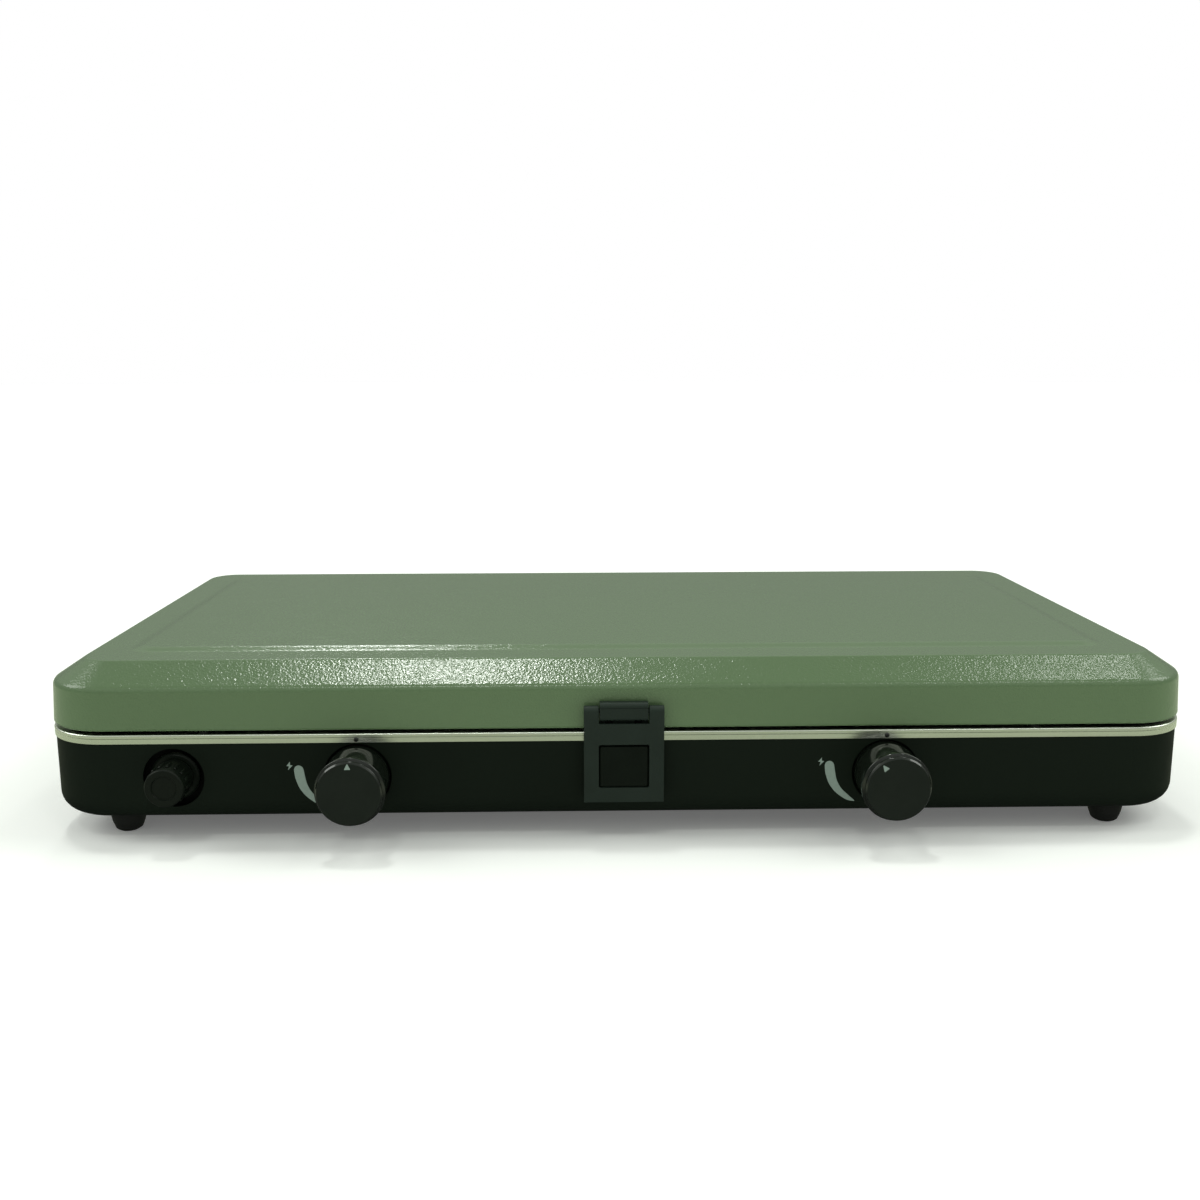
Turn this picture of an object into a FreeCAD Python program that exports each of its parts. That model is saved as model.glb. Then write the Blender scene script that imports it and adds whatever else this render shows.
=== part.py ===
import FreeCAD, Part
import math, os
from FreeCAD import Vector as V

# Folding two-burner camping stove, closed for carrying.  Millimetres, +Z up, +Y to the back.
# Origin: centre of the footprint at the height that the rubber feet stand on.

# ---------------------------------------------------------------- driving dimensions
W, D = 560.0, 280.0          # rim band, outside
R = 32.0                     # plan corner radius of the rim band
KNOB_OUT = 25.5              # knob face in front of the rim band
HINGE_OUT = 7.0              # hinge barrel behind the rim band
YF = -(D + KNOB_OUT + HINGE_OUT) / 2 + KNOB_OUT     # front of the rim band
YB = YF + D                                         # back of the rim band
YC = (YF + YB) / 2

Z_BASE = 11.0                # underside of the bottom case (foot height)
Z_BAND = 49.8                # lower edge of the bright rim band
Z_RIM = 54.2                 # top of the rim
Z_LID = 55.8                 # lower edge of the lid
Z_SKIRT = 76.5               # top of the lid skirt, start of the bevel
Z_BORDER = 86.8              # flat border of the lid
Z_PANEL = 88.2               # raised middle panel of the lid
SKIRT_IN = 1.03              # skirt leans in by this much at its top
BEVEL_IN = 16.6              # inset where the bevel meets the border
STEP_IN = 32.7               # inset of the foot of the panel step
STEP_TOP_IN = 41.1           # inset of the top of the panel step
T_CASE = 1.0                 # sheet of the bottom case
T_TRAY = 0.6                 # sheet of the stainless tray
T_LID = 1.0                  # sheet of the lid
CASE_IN = 0.6                # bottom case set in behind the rim band
CASE_BEND = 10.0             # outer bend radius along the bottom edge

Z_TRAY = 42.6                # upper face of the tray floor
KNOB_X = 127.3               # knobs, taps and burners left and right of the middle
Z_KNOB = 32.7
R_KNOB = 15.5
R_KNOB_HOLE = 16.3
KNOB_TRAVEL = 3.5
BURNER_Y = YC + 10.0
INLET_X = -215.0
R_INLET_HOLE = 14.6
RAIL_Y, RAIL_Z, R_RAIL = YF + 24.0, 20.0, 4.0

LATCH_W, LATCH_T = 38.2, 1.8
LX = 0.4                     # the latch sits this far right of the middle
LATCH_FRONT = 5.4            # front of the latch plate in front of the rim band
LATCH_Z0 = 20.6
WIN_X, WIN_Z0, WIN_Z1 = 12.0, 27.8, 49.1
NOTCH_Z = 59.4
PIN_Y, PIN_Z, R_PIN = YF - 2.7, 65.2, 1.2
R_EYE = 2.7

HINGE_X = 170.0
AX_Y, AX_Z = YB + 4.5, 55.0  # lid hinge axis
R_BARREL = 2.5
FOOT_X, FOOT_IN = 245.0, 21.0
R_SPARK = 44.0               # spark electrode from the burner axis
CLR = 0.05                   # radial clearance of a running fit

nodes = {}


# ---------------------------------------------------------------- helpers
def box(x0, x1, y0, y1, z0, z1):
    return Part.makeBox(x1 - x0, y1 - y0, z1 - z0, V(x0, y0, z0))


def cyl(r, p, axis, h):
    return Part.makeCylinder(r, h, V(*p), V(*axis))


def cylx(r, x0, x1, y, z):
    return Part.makeCylinder(r, x1 - x0, V(x0, y, z), V(1, 0, 0))


def cyly(r, y0, y1, x, z):
    return Part.makeCylinder(r, y1 - y0, V(x, y0, z), V(0, 1, 0))


def cylz(r, z0, z1, x, y):
    return Part.makeCylinder(r, z1 - z0, V(x, y, z0), V(0, 0, 1))


def poly(pts, radii=None):
    """Closed wire through pts (3-D vectors in one plane) with the corner radii given."""
    n = len(pts)
    radii = radii or [0.0] * n
    ends = []
    for i in range(n):
        p, a, b = pts[i], pts[i - 1], pts[(i + 1) % n]
        r = radii[i]
        u, w = (a - p), (b - p)
        lu, lw = u.Length, w.Length
        u, w = u / lu, w / lw
        c = max(-1.0, min(1.0, u.dot(w)))
        ang = math.acos(c)
        if r <= 1e-6 or abs(ang - math.pi) < 1e-4:
            ends.append((p, p, None))
            continue
        t = r / math.tan(ang / 2)
        t = min(t, 0.48 * lu, 0.48 * lw)
        r = t * math.tan(ang / 2)
        bis = (u + w)
        bis = bis / bis.Length
        centre = p + bis * (r / math.sin(ang / 2))
        ends.append((p + u * t, p + w * t, centre - bis * r))
    edges = []
    for i in range(n):
        s, e, m = ends[i]
        if m is not None:
            edges.append(Part.Arc(s, m, e).toShape())
        nxt = ends[(i + 1) % n][0]
        if (nxt - e).Length > 1e-6:
            edges.append(Part.LineSegment(e, nxt).toShape())
    return Part.Wire(edges)


def face(pts, radii=None):
    return Part.Face(poly(pts, radii))


def offset_path(path, d):
    """Open 2-D path moved sideways by d (left is positive), corners mitred."""
    out = []
    n = len(path)
    dirs = []
    for i in range(n - 1):
        dx, dy = path[i + 1][0] - path[i][0], path[i + 1][1] - path[i][1]
        l = math.hypot(dx, dy)
        dirs.append((dx / l, dy / l))
    for i in range(n):
        if i == 0:
            nx, ny = -dirs[0][1], dirs[0][0]
            out.append((path[i][0] + nx * d, path[i][1] + ny * d))
        elif i == n - 1:
            nx, ny = -dirs[-1][1], dirs[-1][0]
            out.append((path[i][0] + nx * d, path[i][1] + ny * d))
        else:
            n1 = (-dirs[i - 1][1], dirs[i - 1][0])
            n2 = (-dirs[i][1], dirs[i][0])
            mx, my = n1[0] + n2[0], n1[1] + n2[1]
            k = d / (1 + n1[0] * n2[0] + n1[1] * n2[1])
            out.append((path[i][0] + mx * k, path[i][1] + my * k))
    return out


def sheet_outline(path, t, bend):
    """Closed outline (points, radii) of sheet t thick along an open path, bend[i] is the mid-line radius at point i."""
    left, right = offset_path(path, t / 2), offset_path(path, -t / 2)
    pts, rad = [], []
    n = len(path)
    for i in range(n):
        turn = 0.0
        if 0 < i < n - 1:
            a = (path[i][0] - path[i - 1][0], path[i][1] - path[i - 1][1])
            b = (path[i + 1][0] - path[i][0], path[i + 1][1] - path[i][1])
            turn = a[0] * b[1] - a[1] * b[0]
        pts.append(left[i])
        rad.append(0 if not bend[i] else (max(bend[i] - t / 2, 0.05) if turn > 0 else bend[i] + t / 2))
    for i in reversed(range(n)):
        turn = 0.0
        if 0 < i < n - 1:
            a = (path[i][0] - path[i - 1][0], path[i][1] - path[i - 1][1])
            b = (path[i + 1][0] - path[i][0], path[i + 1][1] - path[i][1])
            turn = a[0] * b[1] - a[1] * b[0]
        pts.append(right[i])
        rad.append(0 if not bend[i] else (bend[i] + t / 2 if turn > 0 else max(bend[i] - t / 2, 0.05)))
    return pts, rad


def ring(pts, radii, inset=0.0):
    """Sweep an outline of (inset, z) points round the rounded rectangle of the stove."""
    w, d, r = W - 2 * inset, D - 2 * inset, R - inset
    hx, hy = w / 2 - r, d / 2 - r
    out = None
    for k in range(4):
        # side k: 0 right, 1 back, 2 left, 3 front; outline drawn at the start of the side, then extruded
        a = math.radians(90 * k)
        n = V(math.cos(a), math.sin(a), 0)            # outward
        t = V(-math.sin(a), math.cos(a), 0)           # along the side
        half = (hy, hx, hy, hx)[k]
        far = (w / 2, d / 2, w / 2, d / 2)[k]
        o = n * far - t * half + V(0, YC, 0)
        f = face([o - n * s + V(0, 0, z) for s, z in pts], radii)
        side = f.extrude(t * (2 * half))
        o2 = n * far + t * half + V(0, YC, 0)
        f2 = face([o2 - n * s + V(0, 0, z) for s, z in pts], radii)
        c = n * (far - r) + t * half + V(0, YC, 0)
        corner = f2.revolve(c, V(0, 0, 1), 90)
        for s in (side, corner):
            s = Part.Solid(s) if s.ShapeType != "Solid" else s
            out = s if out is None else out.fuse(s)
    return out


def rrect(w, d, r, z, cx=0.0, cy=None):
    cy = YC if cy is None else cy
    p = [V(cx - w / 2, cy - d / 2, z), V(cx + w / 2, cy - d / 2, z), V(cx + w / 2, cy + d / 2, z), V(cx - w / 2, cy + d / 2, z)]
    return poly(p, [r] * 4)


def slab(inset, r, z0, z1):
    return Part.Face(rrect(W - 2 * inset, D - 2 * inset, r, z0)).extrude(V(0, 0, z1 - z0))


def loft(w1, w2):
    return Part.makeLoft([w1, w2], True, True)


def turn_y(prof, x, z, radii=None):
    """Revolve (radius, y) points about the Y line through x, z."""
    f = face([V(r, y, 0) for r, y in prof], radii)
    s = f.revolve(V(0, 0, 0), V(0, 1, 0), 360)
    s.translate(V(x, 0, z))
    return s


def turn_z(prof, x, y, radii=None):
    f = face([V(r, 0, z) for r, z in prof], radii)
    s = f.revolve(V(0, 0, 0), V(0, 0, 1), 360)
    s.translate(V(x, y, 0))
    return s


def prism_x(pts, x0, x1, radii=None):
    """Extrude an outline of (y, z) points from x0 to x1."""
    return face([V(x0, y, z) for y, z in pts], radii).extrude(V(x1 - x0, 0, 0))


def hexagon(af, axis, p, h):
    r = af / math.sqrt(3)
    ax = {"x": V(1, 0, 0), "y": V(0, 1, 0), "z": V(0, 0, 1)}[axis]
    e1 = {"x": V(0, 1, 0), "y": V(1, 0, 0), "z": V(1, 0, 0)}[axis]
    e2 = ax.cross(e1)
    pts = [V(*p) + e1 * (r * math.cos(math.radians(60 * i))) + e2 * (r * math.sin(math.radians(60 * i))) for i in range(6)]
    return Part.Face(Part.makePolygon(pts + [pts[0]])).extrude(ax * h)


def clean(s):
    s = s.removeSplitter()
    if s.ShapeType == "Compound" and len(s.Solids) == 1:
        s = s.Solids[0]
    return s


def union(parts):
    s = parts[0].fuse(parts[1:]) if len(parts) > 1 else parts[0]
    return clean(s)


def tube_path(points, r, radii=None):
    """Round bar of radius r along straight runs joined by tangent arcs."""
    pts = [V(*p) for p in points]
    edges, here = [], pts[0]
    used = []
    for i in range(1, len(pts) - 1):
        p, a, b = pts[i], pts[i - 1], pts[i + 1]
        u, w = (a - p), (b - p)
        lu, lw = u.Length, w.Length
        u, w = u / lu, w / lw
        ang = math.acos(max(-1.0, min(1.0, u.dot(w))))
        turn = math.pi - ang
        rr = 0.45 * min(lu, lw) / math.tan(turn / 2)
        if radii:
            rr = min(rr, radii)
        t = rr * math.tan(turn / 2)
        bis = u + w
        bis = bis / bis.Length
        c = p + bis * (rr / math.sin(ang / 2))
        s, e, m = p + u * t, p + w * t, c - bis * rr
        edges.append(Part.LineSegment(here, s).toShape())
        edges.append(Part.Arc(s, m, e).toShape())
        used.append(round(rr, 1))
        here = e
    edges.append(Part.LineSegment(here, pts[-1]).toShape())
    wire = Part.Wire(edges)
    d0 = pts[1] - pts[0]
    prof = Part.Wire([Part.Circle(pts[0], d0, r).toShape()])
    s = wire.makePipeShell([prof], True, True)
    want = math.pi * r * r * wire.Length
    print("tube radii", used, "volume ratio", round(s.Volume / want, 4))
    return s


def put(name, shape):
    nodes[name] = shape


def group(shapes):
    return Part.makeCompound(shapes)


# ---------------------------------------------------------------- outer skins
# bottom case: pressed tray of sheet steel
cp, cr = sheet_outline([(CASE_IN + T_CASE / 2, 53.2), (CASE_IN + T_CASE / 2, Z_BASE + T_CASE / 2), (30.0, Z_BASE + T_CASE / 2)],
                       T_CASE, [0, CASE_BEND - T_CASE / 2, 0])
case = ring(cp, cr)
case = case.fuse(slab(30.0, R - 30.0, Z_BASE, Z_BASE + T_CASE))
case = clean(case)

# stainless tray: rolled rim bead, groove, hanging flange, sloping wall and floor
tray_pts = [(0.6, Z_BAND), (0.05, Z_BAND), (0.05, 52.15), (0.3, 52.3), (0.3, 52.42), (0.0, 52.6), (0.0, Z_RIM),
            (8.5, Z_RIM), (13.5, Z_TRAY), (24.0, Z_TRAY), (24.0, Z_TRAY - T_TRAY), (13.1, Z_TRAY - T_TRAY),
            (8.1, Z_RIM - T_TRAY), (0.6, Z_RIM - T_TRAY)]
tray_rad = [0, 0, 0, 0, 0, 0, 0.75, 1.6, 2.2, 0, 0, 2.8, 1.0, 0.1]
tray = ring(tray_pts, tray_rad)
floor = slab(24.0, R - 24.0, Z_TRAY - T_TRAY, Z_TRAY)
# round well under each burner: raised ring outside, spill collar at the burner opening
R_WELL, R_OPEN = 101.0, 33.0
for sx in (-1, 1):
    floor = floor.cut(cylz(R_WELL, Z_TRAY - 5, Z_TRAY + 5, sx * KNOB_X, BURNER_Y))
floor = tray.fuse(floor)
for sx in (-1, 1):
    zt = Z_TRAY - T_TRAY / 2
    wp, wr = sheet_outline([(R_OPEN, zt + 2.2), (R_OPEN + 4.0, zt + 2.2), (R_OPEN + 6.0, zt), (88.0, zt), (91.5, zt + 1.3), (95.5, zt + 1.3), (99.0, zt), (R_WELL, zt)],
                           T_TRAY, [0, 1.0, 1.0, 2.5, 2.5, 2.5, 2.5, 0])
    floor = floor.fuse(turn_z(wp, sx * KNOB_X, BURNER_Y, wr))
tray = clean(floor)

# lid: turned-in hem, leaning skirt, bevel, flat border and a raised middle panel
h = T_LID / 2


def skin(z):
    """Inset of the outside of the lid skirt at height z."""
    return SKIRT_IN * (z - Z_LID - h) / (Z_SKIRT - 0.3 - Z_LID - h) - 0.001


lid_path = [(6.0, Z_LID + h), (h, Z_LID + h), (h + SKIRT_IN, Z_SKIRT - 0.3), (BEVEL_IN + 0.35, Z_BORDER - h), (24.0, Z_BORDER - h)]
lp, lr = sheet_outline(lid_path, T_LID, [0, 0.9, 4.0, 6.0, 0])
lid = ring(lp, lr)
top_plate = slab(24.0, R - 24.0, Z_BORDER - T_LID, Z_BORDER)
step_out = loft(rrect(W - 2 * STEP_IN, D - 2 * STEP_IN, 11.0, Z_BORDER), rrect(W - 2 * STEP_TOP_IN, D - 2 * STEP_TOP_IN, 7.0, Z_PANEL))
step_in = loft(rrect(W - 2 * STEP_IN - 1.5, D - 2 * STEP_IN - 1.5, 10.5, Z_BORDER - T_LID), rrect(W - 2 * STEP_TOP_IN - 1.5, D - 2 * STEP_TOP_IN - 1.5, 6.5, Z_PANEL - T_LID))
lid = lid.fuse(top_plate).fuse(step_out).cut(step_in)
lid = clean(lid)
# a solid of the lid's outside, used to seat brackets on the leaning skirt
env_pts = [(skin(Z_LID), Z_LID), (skin(Z_SKIRT - 2), Z_SKIRT - 2), (20.0, Z_SKIRT - 2), (20.0, Z_LID)]
lid_env = ring(env_pts, None)

# ---------------------------------------------------------------- openings in the bottom case
for sx in (-1, 1):
    case = case.cut(cyly(R_KNOB_HOLE, YF - 2, YF + 8, sx * KNOB_X, Z_KNOB))
case = case.cut(cyly(R_INLET_HOLE, YF - 2, YF + 8, INLET_X, Z_KNOB))
# air slots in the floor, below each burner
for sx in (-1, 1):
    for k in range(-3, 4):
        x = sx * KNOB_X + k * 14.0
        s = box(x - 2.0, x + 2.0, BURNER_Y + 40, BURNER_Y + 74, Z_BASE - 1, Z_BASE + 2)
        s = s.fuse(cylz(2.0, Z_BASE - 1, Z_BASE + 2, x, BURNER_Y + 40)).fuse(cylz(2.0, Z_BASE - 1, Z_BASE + 2, x, BURNER_Y + 74))
        case = case.cut(s)

# ---------------------------------------------------------------- rim screws
screws = []
for sx in (-1, 1):
    for y, s in ((YF, 1), (YB, -1)):
        x = sx * KNOB_X
        head = [(0.0, -0.55), (0.7, -0.5), (1.15, -0.1), (1.15, 0.05), (0.0, 0.05)]
        hd = turn_y([(r, yy) for r, yy in head], 0, 0)
        sh = cyly(0.8, 0.05, 4.2, 0, 0)
        b = hd.fuse(sh)
        if s < 0:
            b.rotate(V(0, 0, 0), V(0, 0, 1), 180)
        b.translate(V(x, y, 51.3))
        screws.append(clean(b))
        hole = cyly(0.8, min(y, y + s * 5), max(y, y + s * 5), x, 51.3)
        case = case.cut(hole)
        tray = tray.cut(hole)
put("hob_screws", group(screws))

# ---------------------------------------------------------------- feet
feet, fscrews = [], []
for sx in (-1, 1):
    for y in (YF + FOOT_IN, YB - FOOT_IN):
        f = turn_z([(3.4, 0.0), (4.6, 0.0), (6.4, 1.1), (7.8, 4.8), (9.0, Z_BASE), (2.0, Z_BASE), (2.0, 5.0), (3.4, 5.0)], sx * FOOT_X, y,
                   [0, 0.9, 1.8, 2.4, 0, 0, 0, 0])
        f = f.cut(case)
        feet.append(clean(f))
        s = turn_z([(0.0, 2.6), (1.6, 2.6), (3.3, 3.6), (3.3, 5.0), (2.0, 5.0), (2.0, 15.5), (0.0, 16.0)], sx * FOOT_X, y)
        fscrews.append(s)
        case = case.cut(cylz(2.0, Z_BASE - 1, Z_BASE + 3, sx * FOOT_X, y))
put("feet", group(feet))
put("foot_screws", group(fscrews))

# ---------------------------------------------------------------- catch block for the latch
cb = box(LX - 11.5, LX + 11.5, YF - 4.8, YF + CASE_IN, 28.0, 48.2)
front_edges = [e for e in cb.Edges if all(abs(v.Point.y - (YF - 4.8)) < 1e-6 for v in e.Vertexes)]
cb = cb.makeFillet(0.8, front_edges)
side_edges = [e for e in cb.Edges if len(e.Vertexes) == 2 and abs(e.Vertexes[0].Point.x - e.Vertexes[1].Point.x) < 1e-6
              and abs(abs(e.Vertexes[0].Point.x - LX) - 11.5) < 1e-6 and abs(e.Vertexes[0].Point.z - e.Vertexes[1].Point.z) < 1e-6]
try:
    cb2 = cb.makeFillet(0.7, side_edges)
    cb = cb2 if cb2.isValid() else cb
except Exception:
    pass
cscrews = []
for z in (33.0, 43.0):
    s = turn_y([(0.0, YF - 2.6), (1.4, YF - 2.6), (1.4, YF + CASE_IN + T_CASE), (2.8, YF + CASE_IN + T_CASE), (2.8, YF + 3.2), (0.0, YF + 3.6)], LX, z)
    cscrews.append(s)
    hole = cyly(1.4, YF - 2.6, YF + 3, LX, z)
    cb = cb.cut(hole)
    case = case.cut(hole)
put("latch_catch", clean(cb))
put("catch_screws", group(cscrews))

# ---------------------------------------------------------------- latch on the lid
bk = prism_x([(YF - 5.2, 60.9), (YF - 0.3, 60.9), (YF - 0.3, 69.6), (YF - 5.2, 69.6)], LX - 11.5, LX + 11.5, [1.6, 0.0, 2.4, 2.4])
ft = prism_x([(YF - 1.4, 56.7), (YF + 2.0, 56.7), (YF + 2.0, 64.5), (YF - 1.4, 64.5)], LX - 11.5, LX + 11.5)
bk = bk.fuse(ft).cut(lid_env).cut(cylx(R_PIN, -20, 20, PIN_Y, PIN_Z))
rivets = []
for x in (LX - 7.0, LX + 7.0):
    z = 58.9
    s = turn_y([(0.0, YF - 2.2), (1.2, YF - 2.15), (1.9, YF - 1.4), (1.2, YF - 1.4), (1.2, YF + 1.25), (2.0, YF + 1.25), (1.6, YF + 2.0), (0.0, YF + 2.1)], x, z)
    rivets.append(s)
    hole = cyly(1.2, YF - 5, YF + 4, x, z)
    bk = bk.cut(hole)
    lid = lid.cut(hole)
put("latch_bracket", clean(bk))
put("latch_rivets", group(rivets))
put("latch_pin", cylx(R_PIN, LX - LATCH_W / 2, LX + LATCH_W / 2, PIN_Y, PIN_Z))

y0, y1 = YF - LATCH_FRONT, YF - LATCH_FRONT + LATCH_T
lpl = prism_x([(y0, LATCH_Z0), (y1, LATCH_Z0), (y1, PIN_Z), (y0, PIN_Z)], LX - LATCH_W / 2, LX + LATCH_W / 2, [0.6, 0.4, 0, 0])
lpl = lpl.fuse(cylx(R_EYE, LX - LATCH_W / 2, LX + LATCH_W / 2, PIN_Y, PIN_Z))
lpl = lpl.cut(box(LX - 12.0, LX + 12.0, YF - 12, YF + 4, NOTCH_Z, 80))
lpl = lpl.cut(box(LX - WIN_X, LX + WIN_X, YF - 12, YF + 4, WIN_Z0, WIN_Z1))
lpl = lpl.cut(cylx(R_PIN + CLR, -25, 25, PIN_Y, PIN_Z))
put("latch_plate", clean(lpl))

# ---------------------------------------------------------------- lid hinges at the back
BARREL = 20.0                # half length of a hinge
MID = 9.8                    # half length of the lid's knuckle
case_rivets, lid_rivets, pins = [], [], []
for side, sx in (("left", -1), ("right", 1)):
    cx = sx * HINGE_X
    x0, x1 = cx - BARREL, cx + BARREL
    # case leaf
    path = [(YB - CASE_IN + 0.6, 24.0), (YB - CASE_IN + 0.6, 45.0), (YB + 2.9, 51.0), (AX_Y - 0.6, AX_Z - 1.4)]
    pp, pr = sheet_outline(path, 1.2, [0, 2.0, 2.0, 0])
    plate = prism_x([(YB - CASE_IN, 24.0), (YB - CASE_IN + 1.2, 24.0), (YB - CASE_IN + 1.2, 44.0), (YB - CASE_IN, 44.0)], x0, x1)
    arms = []
    for a, b in ((x0, cx - MID - 0.4), (cx + MID + 0.4, x1)):
        arms.append(prism_x(pp, a, b, pr))
        arms.append(cylx(R_BARREL, a, b, AX_Y, AX_Z))
    leaf = union([plate] + arms)
    leaf = leaf.cut(cylx(R_PIN, x0 - 5, x1 + 5, AX_Y, AX_Z))
    for dx in (-13.0, 0.0, 13.0):
        x = cx + dx
        s = turn_y([(0.0, YB - 2.6), (1.6, YB - 2.5), (2.4, YB - CASE_IN - T_CASE), (1.5, YB - CASE_IN - T_CASE), (1.5, YB + 0.6), (2.8, YB + 0.6), (1.9, YB + 1.5), (0.0, YB + 1.7)], x, 32.0)
        case_rivets.append(s)
        hole = cyly(1.5, YB - 4, YB + 4, x, 32.0)
        leaf = leaf.cut(hole)
        case = case.cut(hole)
    put(side + "_case_leaf", clean(leaf))
    # lid leaf
    ya = YB - skin(73.5) + 0.6
    yb = YB - skin(60.5) + 0.6
    path = [(ya, 73.5), (yb, 60.5), (YB + 2.7, 57.6), (AX_Y - 0.5, AX_Z + 1.3)]
    pp, pr = sheet_outline(path, 1.2, [0, 2.0, 2.0, 0])
    arm = prism_x(pp, cx - MID, cx + MID, pr)
    wide = prism_x([(ya - 0.8, 73.5), (ya + 0.6, 73.5), (yb + 0.6, 61.5), (yb - 0.8, 61.5)], x0, x1)
    leaf = union([arm, wide, cylx(R_BARREL, cx - MID, cx + MID, AX_Y, AX_Z)])
    leaf = leaf.cut(lid_env).cut(cylx(R_PIN + CLR, x0 - 5, x1 + 5, AX_Y, AX_Z))
    for dx in (-13.0, 0.0, 13.0):
        x = cx + dx
        z = 68.0
        yo = YB - skin(z)
        s = turn_y([(0.0, yo - 2.2), (1.6, yo - 2.1), (2.4, yo - 1.15), (1.5, yo - 1.15), (1.5, yo + 1.36), (2.8, yo + 1.36), (1.9, yo + 2.25), (0.0, yo + 2.45)], x, z)
        lid_rivets.append(s)
        hole = cyly(1.5, YB - 6, YB + 4, x, z)
        leaf = leaf.cut(hole)
        lid = lid.cut(hole)
    put(side + "_lid_leaf", clean(leaf))
    pins.append(cylx(R_PIN, x0, x1, AX_Y, AX_Z))
put("hinge_pins", group(pins))
put("case_hinge_rivets", group(case_rivets))
put("lid_hinge_rivets", group(lid_rivets))

# ---------------------------------------------------------------- rubber studs under the lid's hem
studs = []
for x, y in ((-200, YF + 4.6), (200, YF + 4.6), (-200, YB - 4.6), (200, YB - 4.6)):
    s = turn_z([(0.0, 50.6), (1.2, 50.6), (2.2, 51.8), (1.5, 52.6), (1.5, Z_RIM), (2.8, Z_RIM), (2.8, Z_RIM + 0.9), (2.2, Z_RIM + 1.3), (0.0, Z_RIM + 1.3)], x, y)
    studs.append(s)
    tray = tray.cut(cylz(1.5, 50, 56, x, y))
put("rim_buffers", group(studs))

# ---------------------------------------------------------------- gas rail, inlet, taps
rail = cylx(R_RAIL, -208.0, 140.0, RAIL_Y, RAIL_Z).cut(cylx(2.8, -209.0, 137.0, RAIL_Y, RAIL_Z))
clips, clip_screws = [], []
for x in (-60.0, 60.0):
    c = cylx(R_RAIL + 1.2, x - 6, x + 6, RAIL_Y, RAIL_Z)
    c = c.fuse(box(x - 6, x + 6, RAIL_Y - 1.5, RAIL_Y + 1.5, Z_BASE + T_CASE, RAIL_Z))
    c = c.fuse(box(x - 6, x + 6, RAIL_Y - 5, RAIL_Y + 16, Z_BASE + T_CASE, Z_BASE + T_CASE + 1.4))
    c = c.cut(cylx(R_RAIL, x - 8, x + 8, RAIL_Y, RAIL_Z))
    sy = RAIL_Y + 11.0
    zt = Z_BASE + T_CASE + 1.4
    s = turn_z([(0.0, Z_BASE - 0.2), (1.5, Z_BASE - 0.2), (1.5, zt), (3.0, zt), (3.0, zt + 1.0), (1.8, zt + 1.9), (0.0, zt + 1.9)], x, sy)
    c = c.cut(cylz(1.5, 5, 20, x, sy))
    case = case.cut(cylz(1.5, 5, 13, x, sy))
    clips.append(clean(c))
    clip_screws.append(s)
put("rail_clips", group(clips))
put("clip_screws", group(clip_screws))

# inlet: nipple, body behind the hole, bracket, nut and a fixed collar
BR_Y = YF + 8.0              # front face of the inner brackets
BR_T = 1.5
fit = cyly(5.0, YF - 11.0, YF + 18.0, INLET_X, Z_KNOB)
fit = fit.fuse(cyly(7.0, BR_Y - 3.0, BR_Y + BR_T, INLET_X, Z_KNOB))
fit = fit.fuse(hexagon(17.0, "y", (INLET_X, BR_Y + BR_T, Z_KNOB), 6.5))
fit = fit.fuse(box(INLET_X - 8, INLET_X + 7, YF + 15.0, YF + 32.0, 13.6, Z_KNOB + 7))
fit = fit.cut(cylx(R_RAIL, -208.001, -200, RAIL_Y, RAIL_Z))
fit = fit.cut(cyly(2.6, YF - 12, YF + 27, INLET_X, Z_KNOB))
fit = fit.cut(cylz(2.6, RAIL_Z, Z_KNOB, INLET_X, YF + 24.0))
fit = fit.cut(cylx(2.6, INLET_X, -207, RAIL_Y, RAIL_Z))
for k in range(3):           # barbs for a hose
    yb_ = YF - 9.5 + 3.0 * k
    g = turn_y([(4.55, yb_), (6.5, yb_), (6.5, yb_ + 0.7), (4.55, yb_ + 0.35)], INLET_X, Z_KNOB)
    fit = fit.cut(g)
put("inlet_fitting", clean(fit))
br = prism_x([(BR_Y, Z_BASE + T_CASE), (BR_Y + 22.0, Z_BASE + T_CASE), (BR_Y + 22.0, Z_BASE + T_CASE + BR_T), (BR_Y + BR_T, Z_BASE + T_CASE + BR_T), (BR_Y + BR_T, 46.0), (BR_Y, 46.0)],
             INLET_X - 21.0, INLET_X + 21.0, [0, 0, 0, 0.5, 0, 0])
br = br.cut(cyly(7.0, YF, YF + 14, INLET_X, Z_KNOB)).cut(case)
ibs = []
for dx in (-16.0, 16.0):
    zt = Z_BASE + T_CASE + BR_T
    s = turn_z([(0.0, Z_BASE - 0.2), (1.5, Z_BASE - 0.2), (1.5, zt), (3.0, zt), (3.0, zt + 1.0), (1.8, zt + 1.9), (0.0, zt + 1.9)], INLET_X + dx, YF + 21.0)
    ibs.append(s)
    hole = cylz(1.5, 5, 20, INLET_X + dx, YF + 21.0)
    br = br.cut(hole)
    case = case.cut(cylz(1.5, 5, 13, INLET_X + dx, YF + 21.0))
put("inlet_bracket", clean(br))
put("inlet_bracket_screws", group(ibs))
nut = hexagon(19.0, "y", (INLET_X, BR_Y - 3.0, Z_KNOB), 3.0).cut(cyly(7.0, YF, YF + 14, INLET_X, Z_KNOB))
put("inlet_nut", clean(nut))
col = turn_y([(5.0, YF + 2.6), (10.6, YF + 2.6), (11.6, YF + 3.4), (11.6, YF + 5.0), (5.0, YF + 5.0)], INLET_X, Z_KNOB, [0, 0, 0.3, 0, 0])
put("inlet_collar", col)
put("gas_rail", rail)

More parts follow.
